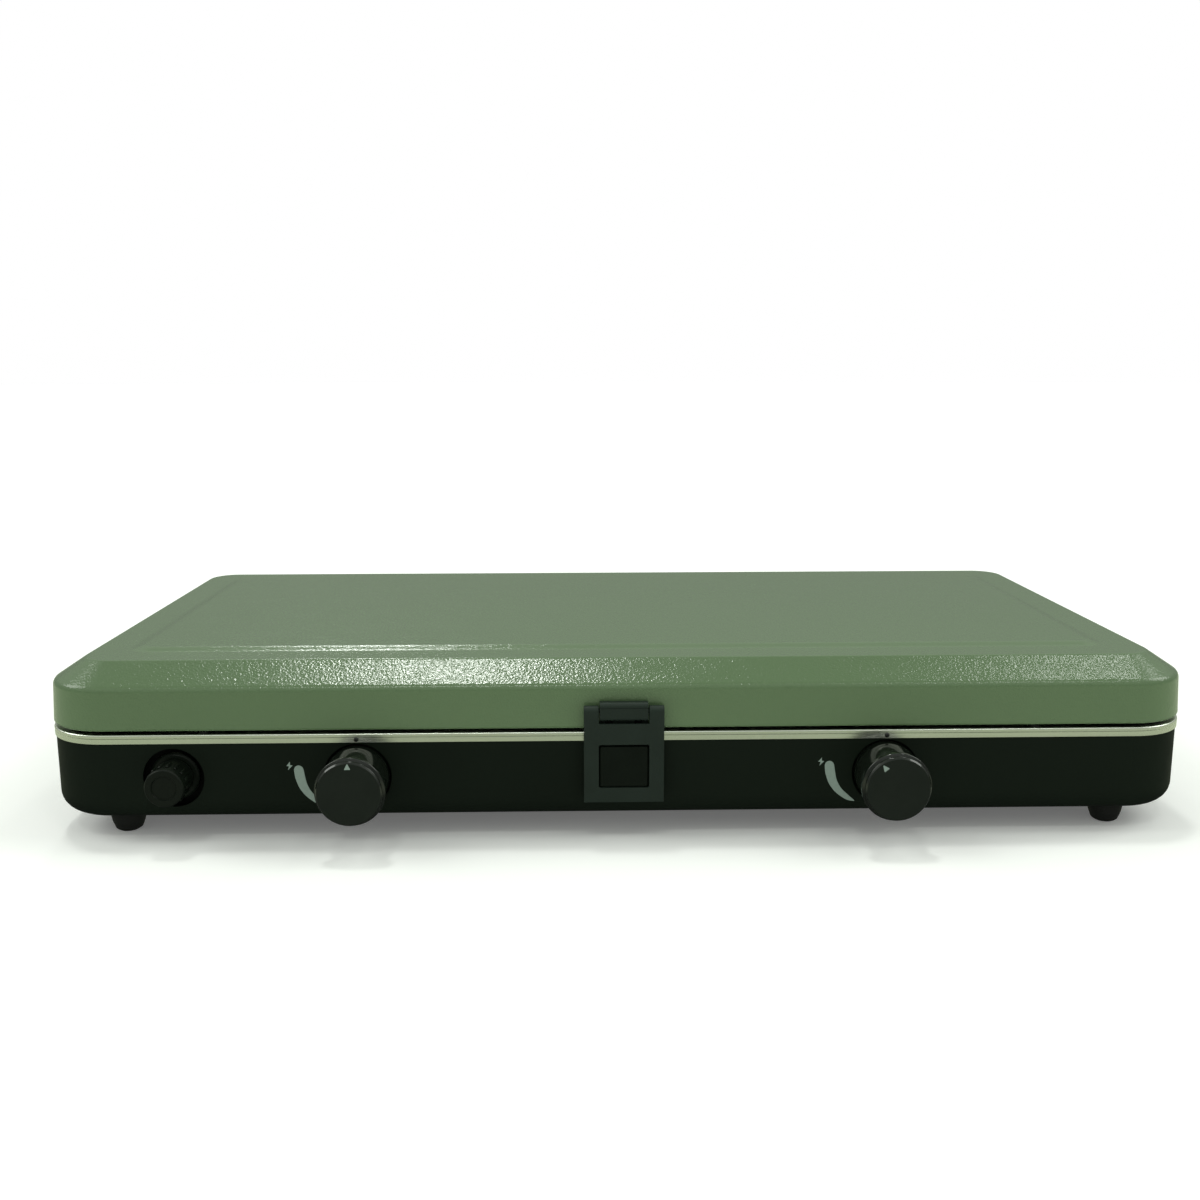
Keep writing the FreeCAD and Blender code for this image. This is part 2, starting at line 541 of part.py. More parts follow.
# dust cap: sliding fit on the nipple, front face with a sunk disc, ribbed grip
capf = YF - 15.0
cap = turn_y([(0.0, capf + 0.7), (5.6, capf + 0.7), (6.0, capf), (8.7, capf), (9.2, capf + 0.5), (9.2, capf + 3.0), (9.0, capf + 3.4),
              (9.0, YF + 1.8), (5.0 + CLR, YF + 1.8), (5.0 + CLR, YF - 11.6), (0.0, YF - 11.6)], INLET_X, Z_KNOB)
ribs = []
for k in range(16):
    b = box(-0.7, 0.7, capf + 4.2, capf + 10.0, 8.6, 9.9)
    b = b.makeChamfer(0.45, [e for e in b.Edges if abs(e.Vertexes[0].Point.z - 9.9) < 1e-6 and abs(e.Vertexes[1].Point.z - 9.9) < 1e-6])
    b.rotate(V(0, 0, 0), V(0, 1, 0), k * 22.5 + 5)
    b.translate(V(INLET_X, 0, Z_KNOB))
    ribs.append(b)
cap = union([cap] + ribs)
put("inlet_cap", cap)

for side, sx in (("left", -1), ("right", 1)):
    x = sx * KNOB_X
    # bracket hung from the rim screw, behind the knob hole
    prof = [(YF + 1.6, 47.0), (YF + 8.0, 47.0), (YF + 8.0, 17.0), (YF + 9.5, 17.0), (YF + 9.5, 48.5), (YF + 3.1, 48.5), (YF + 3.1, 53.2), (YF + 1.6, 53.2)]
    vb = prism_x(prof, x - 20.0, x + 33.0, [0.8, 0.6, 0, 0, 1.2, 0.6, 0, 0])
    vb = vb.cut(cyly(5.5, YF + 7, YF + 11, x, Z_KNOB)).cut(cyly(0.8, YF, YF + 5, x, 51.3))
    vb = vb.cut(box(x - 21, x - 12, YF + 1, YF + 7.9, 46.5, 54)).cut(box(x + 12, x + 34, YF + 1, YF + 7.9, 46.5, 54))
    vb = vb.cut(cyly(16.0, YF + 1, YF + 7.2, x, Z_KNOB))           # room for the knob's flared neck
    bs = []
    for dx in (-7.5, 7.5):
        for dz in (-12.0,):
            s = turn_y([(0.0, YF + 6.6), (1.6, YF + 6.7), (2.4, YF + 7.4), (2.4, YF + 8.0), (1.3, YF + 8.0), (1.3, YF + 17.0), (0.0, YF + 17.3)], x + dx, Z_KNOB + dz + 1.5)
            bs.append(s)
            vb = vb.cut(cyly(1.3, YF + 7, YF + 11, x + dx, Z_KNOB + dz + 1.5))
    put(side + "_valve_bracket", clean(vb))
    put(side + "_valve_screws", group(bs))
    # tap body
    v = cyly(9.0, YF + 9.5, YF + 34.0, x, Z_KNOB)
    v = v.fuse(cyly(5.5, YF + 7.3, YF + 9.5, x, Z_KNOB))
    v = v.fuse(box(x - 10.5, x + 10.5, YF + 9.5, YF + 31.0, 14.6, 30.0))
    v = v.fuse(hexagon(13.0, "y", (x, YF + 34.0, Z_KNOB), 4.0))
    v = v.cut(cylx(R_RAIL, x - 20, x + 20, RAIL_Y, RAIL_Z))
    v = v.cut(cyly(3.0 + CLR, YF + 6, YF + 12, x, Z_KNOB))          # stem bush
    v = v.cut(cyly(5.6, YF + 11.5, YF + 31.0, x, Z_KNOB))           # spring chamber
    v = v.cut(cyly(1.6, YF + 30, YF + 39, x, Z_KNOB))               # gas way
    v = v.cut(cyly(3.0, YF + 33.0, YF + 39, x, Z_KNOB))             # injector thread
    for b in bs:
        v = v.cut(b)
    put(side + "_valve", clean(v))
    inj = hexagon(8.0, "y", (x, YF + 38.0, Z_KNOB), 4.0).fuse(cyly(3.0, YF + 33.0, YF + 38.0, x, Z_KNOB)).fuse(
        turn_y([(0.0, YF + 42.0), (2.6, YF + 42.0), (1.6, YF + 45.5), (0.0, YF + 45.5)], x, Z_KNOB))
    inj = inj.cut(cyly(1.2, YF + 32, YF + 43.5, x, Z_KNOB)).cut(cyly(0.35, YF + 43, YF + 46, x, Z_KNOB))
    put(side + "_injector", clean(inj))
    # push-and-turn parts
    st = cyly(3.0, YF - 19.0, YF + 24.0, x, Z_KNOB).fuse(cyly(4.6, YF + 11.7, YF + 12.7, x, Z_KNOB))
    st = st.cut(box(x - 4, x + 4, YF - 20, YF - 4, Z_KNOB + 2.0, Z_KNOB + 4))   # flat that drives the knob
    put(side + "_stem", clean(st))
    pl = cyly(5.5, YF + 12.75, YF + 15.0, x, Z_KNOB).cut(cyly(3.0 + CLR, YF + 12, YF + 16, x, Z_KNOB))
    put(side + "_plunger", clean(pl))
    helix = Part.makeHelix(2.48, 14.88, 4.45)
    wirep = Part.Wire([Part.Circle(V(4.45, 0, 0), V(0, 1, 0), 0.45).toShape()])
    sp = Part.Wire(helix.Edges).makePipeShell([wirep], True, True)
    sp.rotate(V(0, 0, 0), V(1, 0, 0), -90)
    sp.translate(V(x, YF + 15.55, Z_KNOB))
    print("spring", sp.isValid(), sp.Volume, sp.ShapeType)
    put(side + "_knob_spring", sp)
    # knob
    kf = YF - KNOB_OUT
    kb = turn_y([(0.0, kf), (14.7, kf), (15.5, kf + 0.8), (15.5, kf + 2.7), (14.8, kf + 2.9), (14.8, kf + 3.4), (15.5, kf + 3.6), (15.5, kf + 6.0),
                 (14.6, kf + 6.9), (13.2, kf + 9.0), (13.2, kf + 12.0), (15.4, YF - 3.6), (15.4, YF + 3.0), (9.4, YF + 3.0), (9.4, kf + 8.0), (6.2, kf + 8.0), (6.2, YF + 3.0), (0.0, YF + 3.0)],
                x, Z_KNOB, [0, 0.4, 0.4, 0, 0, 0, 0, 0.6, 0.5, 1.2, 5.0, 5.0, 0.4, 0.3, 0.8, 0.8, 0.3, 0])
    bore = cyly(3.0, YF - 19.0, YF + 4, x, Z_KNOB).cut(box(x - 4, x + 4, YF - 20, YF - 4, Z_KNOB + 2.0, Z_KNOB + 4))
    kb = kb.cut(bore)
    put(side + "_knob", clean(kb))

# ---------------------------------------------------------------- burners
bscrews = []
for side, sx in (("left", -1), ("right", 1)):
    x, y = sx * KNOB_X, BURNER_Y
    cup = cylz(31.0, 25.0, 48.0, x, y).fuse(cylz(50.0, Z_TRAY - T_TRAY - 2.0, Z_TRAY - T_TRAY, x, y))
    tube = cyly(7.6, YF + 44.0, y - 20, x, Z_KNOB - 1.0)
    bell = turn_y([(0.0, YF + 39.5), (8.9, YF + 39.5), (8.9, YF + 50.0), (7.6, YF + 56.0), (0.0, YF + 56.0)], x, Z_KNOB - 1.0)
    body = cup.fuse(tube).fuse(bell)
    body = body.cut(cylz(28.5, 27.5, 50.0, x, y))
    body = body.cut(cyly(6.0, YF + 50.0, y - 20, x, Z_KNOB - 1.0))
    body = body.cut(cyly(7.4, YF + 39.0, YF + 50.5, x, Z_KNOB - 1.0))
    body = body.cut(cyl(3.0, (x, YF + 54.0, 10.0), (0, 0, 1), 18.0))
    body = body.cut(cyl(3.4, (x - 15.0, YF + 51.5, Z_KNOB - 1.0), (1, 0, 0), 30.0))
    el = (x + R_SPARK * math.cos(math.radians(-45)), y + R_SPARK * math.sin(math.radians(-45)))
    body = body.cut(cylz(2.6, 38.0, 46.0, el[0], el[1]))
    tray = tray.cut(cylz(3.0, 40.0, 48.0, el[0], el[1]))
    for a in (30.0, 150.0, 270.0):
        px, py = x + 45.0 * math.cos(math.radians(a)), y + 45.0 * math.sin(math.radians(a))
        zt = Z_TRAY
        s = turn_z([(0.0, 37.6), (1.7, 37.6), (1.7, zt), (3.4, zt), (3.4, zt + 0.9), (2.4, zt + 1.9), (0.0, zt + 2.1)], px, py)
        bscrews.append(s)
        hole = cylz(1.7, 36, 46, px, py)
        body = body.cut(hole)
        tray = tray.cut(hole)
    put(side + "_burner_body", clean(body))
    cr_ = turn_z([(25.6, 44.0), (28.3, 44.0), (28.3, 48.0), (31.0, 48.0), (32.0, 49.0), (32.0, 54.0), (25.6, 54.0)], x, y)
    slots = []
    for k in range(32):
        b = box(24.5, 34.0, -0.7, 0.7, 49.6, 52.8)
        b.rotate(V(0, 0, 0), V(0, 0, 1), k * 11.25 + 5.6)
        b.translate(V(x, y, 0))
        slots.append(b)
    cr_ = cr_.cut(slots)
    put(side + "_burner_crown", clean(cr_))
    bc = turn_z([(0.0, 54.0), (0.0, 58.6), (24.0, 58.2), (32.0, 56.9), (33.2, 55.6), (33.2, 54.0), (25.4, 54.0), (25.4, 51.6), (22.6, 51.6), (22.6, 54.0)], x, y,
                [0, 0, 20, 3, 0.6, 0.3, 0, 0.3, 0.3, 0.5])
    put(side + "_burner_cap", clean(bc))
    # spark electrode and lead
    ez = turn_z([(0.0, 30.0), (1.4, 30.0), (1.4, 33.0), (2.5, 33.0), (2.5, Z_TRAY), (4.2, Z_TRAY), (4.2, Z_TRAY + 2.4), (2.3, Z_TRAY + 3.2), (2.1, 50.5), (0.0, 50.5)], el[0], el[1])
    d = V(x - el[0], y - el[1], 0)
    d = d / d.Length
    p0 = V(el[0], el[1], 50.0)
    tip = tube_path([tuple(p0), tuple(p0 + V(0, 0, 3.6)), tuple(p0 + V(0, 0, 3.6) + d * 8.6)], 0.6, 1.8)
    ez = ez.fuse(tip)
    put(side + "_electrode", clean(ez))
    ig = box(x + 14.0, x + 31.0, YF + 9.5, YF + 42.0, 24.0, 38.5)
    ig = ig.makeFillet(1.5, [e for e in ig.Edges if abs(e.Vertexes[0].Point.y - e.Vertexes[1].Point.y) > 10])
    ig = ig.fuse(cyly(3.4, YF + 42.0, YF + 45.0, x + 22.5, 31.0))
    put(side + "_igniter", clean(ig))
    lead = tube_path([(x + 22.5, YF + 45.0, 31.0), (x + 22.5, YF + 60.0, 30.4), (x + 24.5, YF + 78.0, 25.0), (x + 27.6, YF + 97.0, 19.0),
                      (el[0], el[1] - 9.0, 16.5), (el[0], el[1], 19.0), (el[0], el[1], 30.0)], 1.25)
    put(side + "_spark_lead", lead)
put("burner_screws", group(bscrews))

# ---------------------------------------------------------------- wire pan supports
PS_W, PS_D, PS_Z, PS_R, PS_RL = 222.0, 214.0, 69.5, 2.5, 2.2
for side, sx in (("left", -1), ("right", 1)):
    x, y = sx * KNOB_X, BURNER_Y
    hx, hy, rc = PS_W / 2, PS_D / 2, 14.0
    parts = []
    parts += [cylx(PS_R, x - hx + rc, x + hx - rc, y + s * hy, PS_Z) for s in (-1, 1)]
    parts += [cyly(PS_R, y - hy + rc, y + hy - rc, x + s * hx, PS_Z) for s in (-1, 1)]
    for ax, ay, a0 in ((1, 1, 0), (-1, 1, 90), (-1, -1, 180), (1, -1, 270)):
        c = V(x + ax * (hx - rc), y + ay * (hy - rc), PS_Z)
        prof = Part.Face(Part.Wire([Part.Circle(c + V(rc * math.cos(math.radians(a0)), rc * math.sin(math.radians(a0)), 0),
                                                V(-math.sin(math.radians(a0)), math.cos(math.radians(a0)), 0), PS_R).toShape()]))
        parts.append(prof.revolve(c, V(0, 0, 1), 90))
        # corner leg down to the tray
        q = V(x + ax * (hx - 1.2 * rc - 12), y + ay * hy, PS_Z)
        parts.append(cylz(PS_RL, Z_TRAY, PS_Z, q.x, q.y))
    uw, ri = 11.0, 24.0      # half width of a loop, distance of its nose from the burner axis
    for ang, reach in ((0, hx), (90, hy), (180, hx), (270, hy)):
        loop = [cylx(PS_RL, ri + uw, reach, s * uw, 0.0) for s in (-1, 1)]
        c = V(ri + uw, 0, 0)
        prof = Part.Face(Part.Wire([Part.Circle(c + V(0, uw, 0), V(1, 0, 0), PS_RL).toShape()]))
        loop.append(prof.revolve(c, V(0, 0, 1), 180))
        for s in loop:
            s.rotate(V(0, 0, 0), V(0, 0, 1), ang)
            s.translate(V(x, y, PS_Z))
            parts.append(s)
    ps = union(parts)
    put(side + "_pan_support", ps)

put("base_case", clean(case))
put("hob_tray", clean(tray))
put("lid_shell", clean(lid))

# ---------------------------------------------------------------- write
os.makedirs("parts", exist_ok=True)
allb = None
for name in sorted(nodes):
    s = nodes[name]
    ok = s.isValid() and all(q.isClosed() for q in s.Shells) and len(s.Solids) >= 1
    bb = s.BoundBox
    allb = bb if allb is None else allb.united(bb)
    print(f"{name:24s} solids {len(s.Solids):2d} valid {ok} vol {s.Volume:10.1f}  x {bb.XMin:8.2f} {bb.XMax:8.2f}  y {bb.YMin:8.2f} {bb.YMax:8.2f}  z {bb.ZMin:7.2f} {bb.ZMax:7.2f}")
    s.exportStep("parts/" + name + ".step")
print(len(nodes), "nodes; box", allb)
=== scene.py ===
import bpy
import bmesh
import math
import numpy as np
from mathutils import Vector, Matrix


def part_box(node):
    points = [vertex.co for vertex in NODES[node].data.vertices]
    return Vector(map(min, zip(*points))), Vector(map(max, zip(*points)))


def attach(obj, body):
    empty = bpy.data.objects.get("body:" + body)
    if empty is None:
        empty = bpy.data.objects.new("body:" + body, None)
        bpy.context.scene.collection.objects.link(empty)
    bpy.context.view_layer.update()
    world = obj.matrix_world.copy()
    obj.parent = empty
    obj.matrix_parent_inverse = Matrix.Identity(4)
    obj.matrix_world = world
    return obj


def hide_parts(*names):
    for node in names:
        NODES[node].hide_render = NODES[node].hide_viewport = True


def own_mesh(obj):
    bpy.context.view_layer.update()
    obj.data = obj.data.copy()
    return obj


# Folding two-burner camping stove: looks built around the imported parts.
# Lengths in the helpers are millimetres in the row frame (+X right, +Y back, +Z up); S turns them into metres.
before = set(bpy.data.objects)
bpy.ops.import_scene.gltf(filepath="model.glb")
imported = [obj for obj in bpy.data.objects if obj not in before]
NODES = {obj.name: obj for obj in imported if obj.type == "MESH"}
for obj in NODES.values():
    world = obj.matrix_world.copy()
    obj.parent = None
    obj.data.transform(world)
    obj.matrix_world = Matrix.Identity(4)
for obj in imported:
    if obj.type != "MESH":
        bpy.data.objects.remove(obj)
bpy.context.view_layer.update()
S = 0.001

_tl, _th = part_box("hob_tray")
W, D = round((_th.x - _tl.x) / S, 2), round((_th.y - _tl.y) / S, 2)
YF, YB = _tl.y / S, _th.y / S
YC = (YF + YB) / 2
R = 32.0
_kl, _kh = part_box("right_knob")
KX = round((_kl.x + _kh.x) / 2 / S, 2)
KZ = round((_kl.z + _kh.z) / 2 / S, 2)
KF = _kl.y / S                      # front face of the knobs
CASE_Y = YF + 0.6                   # front wall of the bottom case


# ------------------------------------------------------------------ node helpers
class Mat:
    """One material: a Principled shader and short calls for the procedural nodes round it."""

    def __init__(self, name, base, rough=0.4, metal=0.0, spec=0.5, **sockets):
        self.m = bpy.data.materials.new(name)
        self.m.use_nodes = True
        self.nt = self.m.node_tree
        self.nt.nodes.clear()
        self.out = self.nt.nodes.new("ShaderNodeOutputMaterial")
        self.b = self.nt.nodes.new("ShaderNodeBsdfPrincipled")
        self.nt.links.new(self.b.outputs[0], self.out.inputs[0])
        self.b.inputs["Base Color"].default_value = (*base, 1)
        self.b.inputs["Roughness"].default_value = rough
        self.b.inputs["Metallic"].default_value = metal
        self.b.inputs["Specular IOR Level"].default_value = spec
        for k, v in sockets.items():
            self.b.inputs[k.replace("_", " ")].default_value = v
        self.base = base
        self.co = self.node("ShaderNodeTexCoord").outputs["Object"]
        self.height = None

    def node(self, kind, **props):
        n = self.nt.nodes.new(kind)
        for k, v in props.items():
            setattr(n, k, v)
        return n

    def link(self, a, b):
        self.nt.links.new(a, b)

    def mapped(self, scale=(1, 1, 1), loc=(0, 0, 0), rot=(0, 0, 0)):
        n = self.node("ShaderNodeMapping")
        n.inputs["Scale"].default_value = scale
        n.inputs["Location"].default_value = loc
        n.inputs["Rotation"].default_value = rot
        self.link(self.co, n.inputs["Vector"])
        return n.outputs[0]

    def noise(self, scale, detail=2.0, rough=0.5, vec=None, dist=0.0):
        n = self.node("ShaderNodeTexNoise")
        n.inputs["Scale"].default_value = scale
        n.inputs["Detail"].default_value = detail
        n.inputs["Roughness"].default_value = rough
        n.inputs["Distortion"].default_value = dist
        self.link(vec if vec is not None else self.co, n.inputs["Vector"])
        return n.outputs["Fac"]

    def voronoi(self, scale, vec=None, feature="F1", smooth=1.0, out="Distance"):
        n = self.node("ShaderNodeTexVoronoi", feature=feature)
        n.inputs["Scale"].default_value = scale
        if feature == "SMOOTH_F1":
            n.inputs["Smoothness"].default_value = smooth
        self.link(vec if vec is not None else self.co, n.inputs["Vector"])
        return n.outputs[out]

    def math(self, op, a, b=None, c=None, clamp=False):
        n = self.node("ShaderNodeMath", operation=op, use_clamp=clamp)
        for i, v in enumerate((a, b, c)):
            if v is None:
                continue
            if isinstance(v, (int, float)):
                n.inputs[i].default_value = v
            else:
                self.link(v, n.inputs[i])
        return n.outputs[0]

    def ramp(self, fac, stops):
        n = self.node("ShaderNodeValToRGB")
        e = n.color_ramp.elements
        while len(e) < len(stops):
            e.new(0.5)
        for i, (p, c) in enumerate(stops):
            e[i].position = p
            e[i].color = (*c, 1) if len(c) == 3 else c
        self.link(fac, n.inputs[0])
        return n.outputs[0]

    def span(self, fac, lo, hi, a=0.0, b=1.0):
        n = self.node("ShaderNodeMapRange")
        n.inputs["From Min"].default_value = lo
        n.inputs["From Max"].default_value = hi
        n.inputs["To Min"].default_value = a
        n.inputs["To Max"].default_value = b
        self.link(fac, n.inputs["Value"])
        return n.outputs[0]

    def mix(self, fac, a, b):
        n = self.node("ShaderNodeMix", data_type="RGBA")
        for i, v in ((0, fac), (6, a), (7, b)):
            if isinstance(v, (int, float)):
                n.inputs[i].default_value = v
            elif isinstance(v, tuple):
                n.inputs[i].default_value = (*v, 1)
            else:
                self.link(v, n.inputs[i])
        return n.outputs[2]

    def tone(self, fac, amount, colour=None):
        """Base colour varied by +- amount with fac (0..1)."""
        c = colour or self.base
        lo = tuple(x * (1 - amount) for x in c)
        hi = tuple(min(1.0, x * (1 + amount)) for x in c)
        return self.ramp(fac, [(0.25, lo), (0.75, hi)])

    def set(self, socket, value):
        self.link(value, self.b.inputs[socket])

    def bump(self, height, distance, strength=1.0):
        n = self.node("ShaderNodeBump")
        n.inputs["Strength"].default_value = strength
        n.inputs["Distance"].default_value = distance
        self.link(height, n.inputs["Height"])
        if self.height is not None:
            self.link(self.height, n.inputs["Normal"])
        self.height = n.outputs[0]
        self.link(self.height, self.b.inputs["Normal"])
        return self

    def edge_wear(self, colour, amount=0.5, radius=0.0006):
        """Edge mask from 0 to amount, found from the shape itself."""
        bev = self.node("ShaderNodeBevel", samples=4)
        bev.inputs["Radius"].default_value = radius
        geo = self.node("ShaderNodeNewGeometry")
        dot = self.node("ShaderNodeVectorMath", operation="DOT_PRODUCT")
        self.link(bev.outputs[0], dot.inputs[0])
        self.link(geo.outputs["Normal"], dot.inputs[1])
        f = self.span(dot.outputs["Value"], 0.995, 0.9, 0.0, amount)
        return f


# ------------------------------------------------------------------ materials
mats = {}


def green_paint():
    m = Mat("lid_green", (0.104, 0.165, 0.080), rough=0.16, spec=0.5)
    # powder coat: rounded orange-peel grain about a millimetre across
    n1 = m.noise(1000, 1.0, 0.4)
    n2 = m.noise(540, 1.0, 0.4)
    grain = m.math("ADD", m.math("MULTIPLY", n1, 0.75), m.math("MULTIPLY", n2, 0.55))
    big = m.noise(3.2, 2.0, 0.5)
    mid = m.noise(55, 3.0, 0.6)
    col = m.tone(big, 0.03)
    col = m.mix(m.math("MULTIPLY", mid, 0.10), col, tuple(x * 0.84 for x in m.base))
    m.set("Base Color", col)
    m.set("Roughness", m.span(mid, 0.3, 0.7, 0.14, 0.19))
    m.bump(grain, 0.000155, 1.0)
    return m


def black_paint():
    m = Mat("case_black", (0.0076, 0.0118, 0.0076), rough=0.5, spec=0.05)
    g = m.noise(1300, 2.0, 0.55)
    big = m.noise(9, 3.0, 0.6)
    m.set("Base Color", m.tone(big, 0.10))
    m.set("Roughness", m.span(m.noise(60, 3, 0.6), 0.3, 0.7, 0.45, 0.58))
    m.bump(g, 0.00006, 0.6)
    return m


def stainless():
    m = Mat("stainless", (0.80, 0.83, 0.735), rough=0.25, metal=1.0)
    grain = m.noise(1.0, 6.0, 0.65, vec=m.mapped((18, 2600, 2600)))
    long_ = m.noise(1.0, 3.0, 0.6, vec=m.mapped((5, 260, 260)))
    cloud = m.noise(26, 4.0, 0.6)
    m.set("Base Color", m.mix(m.math("MULTIPLY", cloud, 0.35), m.tone(grain, 0.10), (0.68, 0.71, 0.62)))
    r = m.math("ADD", m.span(grain, 0.3, 0.7, 0.19, 0.31), m.span(long_, 0.3, 0.7, -0.03, 0.05))
    m.set("Roughness", r)
    m.bump(m.math("ADD", m.math("MULTIPLY", grain, 0.7), m.math("MULTIPLY", long_, 0.3)), 0.00003, 0.5)
    m.bump(m.noise(40, 2.0, 0.5), 0.0003, 0.12)
    return m


def knob_black():
    m = Mat("knob_black", (0.0060, 0.0085, 0.0060), rough=0.12, spec=0.62)
    m.set("Base Color", m.tone(m.noise(90, 3, 0.6), 0.12))
    m.set("Roughness", m.span(m.noise(160, 3, 0.6), 0.3, 0.7, 0.09, 0.16))
    m.bump(m.noise(500, 2.0, 0.5), 0.00002, 0.35)
    return m


def knob_face():
    m = Mat("knob_face", (0.0085, 0.0130, 0.0088), rough=0.55, spec=0.22)
    m.set("Base Color", m.mix(m.span(m.noise(70, 3, 0.6), 0.3, 0.7), (0.0078, 0.0122, 0.0080), (0.0096, 0.0145, 0.0098)))
    m.set("Roughness", m.span(m.noise(160, 3, 0.6), 0.3, 0.7, 0.50, 0.60))
    m.bump(m.noise(2400, 2.0, 0.5), 0.00004, 0.8)
    return m


def charcoal():
    m = Mat("latch_charcoal", (0.0150, 0.0245, 0.0185), rough=0.42, spec=0.2)
    g = m.noise(1500, 2.0, 0.5)
    m.set("Base Color", m.tone(m.noise(45, 4, 0.6), 0.12))
    m.set("Roughness", m.span(m.noise(120, 3, 0.6), 0.3, 0.7, 0.38, 0.48))
    m.bump(g, 0.00005, 0.6)
    return m


def plain_black(name, base, rough, spec, grain=1200, dist=0.00005):
    m = Mat(name, base, rough=rough, spec=spec)
    m.set("Base Color", m.tone(m.noise(60, 4, 0.6), 0.18))
    m.set("Roughness", m.span(m.noise(140, 3, 0.6), 0.3, 0.7, rough - 0.05, rough + 0.06))
    m.bump(m.noise(grain, 2.0, 0.5), dist, 0.6)
    return m


def plated(name, base, rough, tint, spots=0.25):
    m = Mat(name, base, rough=rough, metal=1.0)
    m.set("Base Color", m.mix(m.span(m.noise(190, 5, 0.65), 0.42, 0.68, 0.0, spots), m.tone(m.noise(900, 2, 0.5), 0.06), tint))
    m.set("Roughness", m.span(m.noise(420, 4, 0.6), 0.3, 0.7, rough - 0.06, rough + 0.09))
    m.bump(m.noise(1400, 3.0, 0.6), 0.00003, 0.5)
    return m


def cast():
    m = Mat("cast_alloy", (0.52, 0.52, 0.50), rough=0.46, metal=1.0)
    m.set("Base Color", m.mix(m.span(m.noise(240, 5, 0.65), 0.4, 0.65, 0.0, 0.45), m.tone(m.noise(30, 3, 0.6), 0.08), (0.33, 0.33, 0.31)))
    m.set("Roughness", m.span(m.noise(300, 4, 0.6), 0.3, 0.7, 0.38, 0.56))
    m.bump(m.noise(700, 4.0, 0.65), 0.00022, 0.55)
    return m


def enamel():
    m = Mat("enamel_black", (0.012, 0.012, 0.013), rough=0.18, spec=0.55, Coat_Weight=0.6, Coat_Roughness=0.08)
    fleck = m.voronoi(1500)
    m.set("Base Color", m.ramp(fleck, [(0.0, (0.09, 0.09, 0.095)), (0.10, (0.014, 0.014, 0.015)), (1.0, (0.010, 0.010, 0.011))]))
    m.set("Roughness", m.span(m.noise(120, 3, 0.6), 0.3, 0.7, 0.14, 0.26))
    m.bump(m.noise(260, 2.0, 0.5), 0.00012, 0.35)
    return m


def ceramic():
    m = Mat("ceramic", (0.78, 0.77, 0.72), rough=0.24, spec=0.5, Coat_Weight=0.3, Coat_Roughness=0.1)
    m.set("Base Color", m.tone(m.noise(240, 4, 0.6), 0.05))
    m.set("Roughness", m.span(m.noise(400, 3, 0.6), 0.3, 0.7, 0.2, 0.32))
    m.bump(m.noise(900, 2.0, 0.5), 0.00004, 0.4)
    return m


def silicone():
    m = Mat("silicone", (0.30, 0.035, 0.018), rough=0.45, spec=0.4)
    m.set("Base Color", m.tone(m.noise(150, 4, 0.6), 0.10))
    m.set("Roughness", m.span(m.noise(500, 3, 0.6), 0.3, 0.7, 0.4, 0.52))
    m.bump(m.noise(1200, 2.0, 0.5), 0.00004, 0.5)
    return m


def wire():
    m = Mat("support_wire", (0.60, 0.61, 0.60), rough=0.2, metal=1.0)
    m.set("Base Color", m.mix(m.span(m.noise(70, 5, 0.65), 0.45, 0.7, 0.0, 0.3), m.tone(m.noise(500, 2, 0.5), 0.05), (0.42, 0.39, 0.33)))
    m.set("Roughness", m.span(m.noise(260, 4, 0.6), 0.3, 0.7, 0.14, 0.27))
    m.bump(m.noise(900, 3.0, 0.6), 0.00003, 0.4)
    return m


def ink():
    m = Mat("mark_ink", (0.235, 0.300, 0.262), rough=0.5, spec=0.3)
    m.set("Base Color", m.tone(m.noise(900, 3, 0.6), 0.06))
    m.set("Roughness", m.span(m.noise(600, 3, 0.6), 0.3, 0.7, 0.44, 0.56))
    m.bump(m.noise(1800, 2.0, 0.5), 0.00002, 0.5)
    return m


mats["lid_green"] = green_paint()
mats["case_black"] = black_paint()
mats["stainless"] = stainless()
mats["knob_black"] = knob_black()
mats["knob_face"] = knob_face()
mats["latch_charcoal"] = charcoal()
mats["catch_black"] = plain_black("catch_black", (0.0055, 0.0088, 0.0055), 0.5, 0.08)
mats["cap_black"] = plain_black("cap_black", (0.0050, 0.0078, 0.0050), 0.36, 0.16, 1500)
mats["rubber"] = plain_black("rubber", (0.010, 0.011, 0.010), 0.66, 0.25, 800, 0.00012)
mats["screw_black"] = plain_black("screw_black", (0.008, 0.009, 0.008), 0.32, 0.5, 1800, 0.00003)
mats["hinge_black"] = plain_black("hinge_black", (0.012, 0.014, 0.012), 0.36, 0.45, 1100, 0.00006)
mats["zinc"] = plated("zinc", (0.62, 0.63, 0.62), 0.30, (0.46, 0.46, 0.43))
mats["pipe_steel"] = plated("pipe_steel", (0.50, 0.51, 0.50), 0.32, (0.33, 0.31, 0.27))
mats["brass"] = plated("brass", (0.70, 0.53, 0.25), 0.26, (0.45, 0.32, 0.14), 0.35)
mats["spring_steel"] = plated("spring_steel", (0.48, 0.48, 0.47), 0.24, (0.30, 0.29, 0.27))
mats["cast_alloy"] = cast()
mats["enamel_black"] = enamel()
mats["ceramic"] = ceramic()
mats["silicone"] = silicone()
mats["support_wire"] = wire()
mats["mark_ink"] = ink()
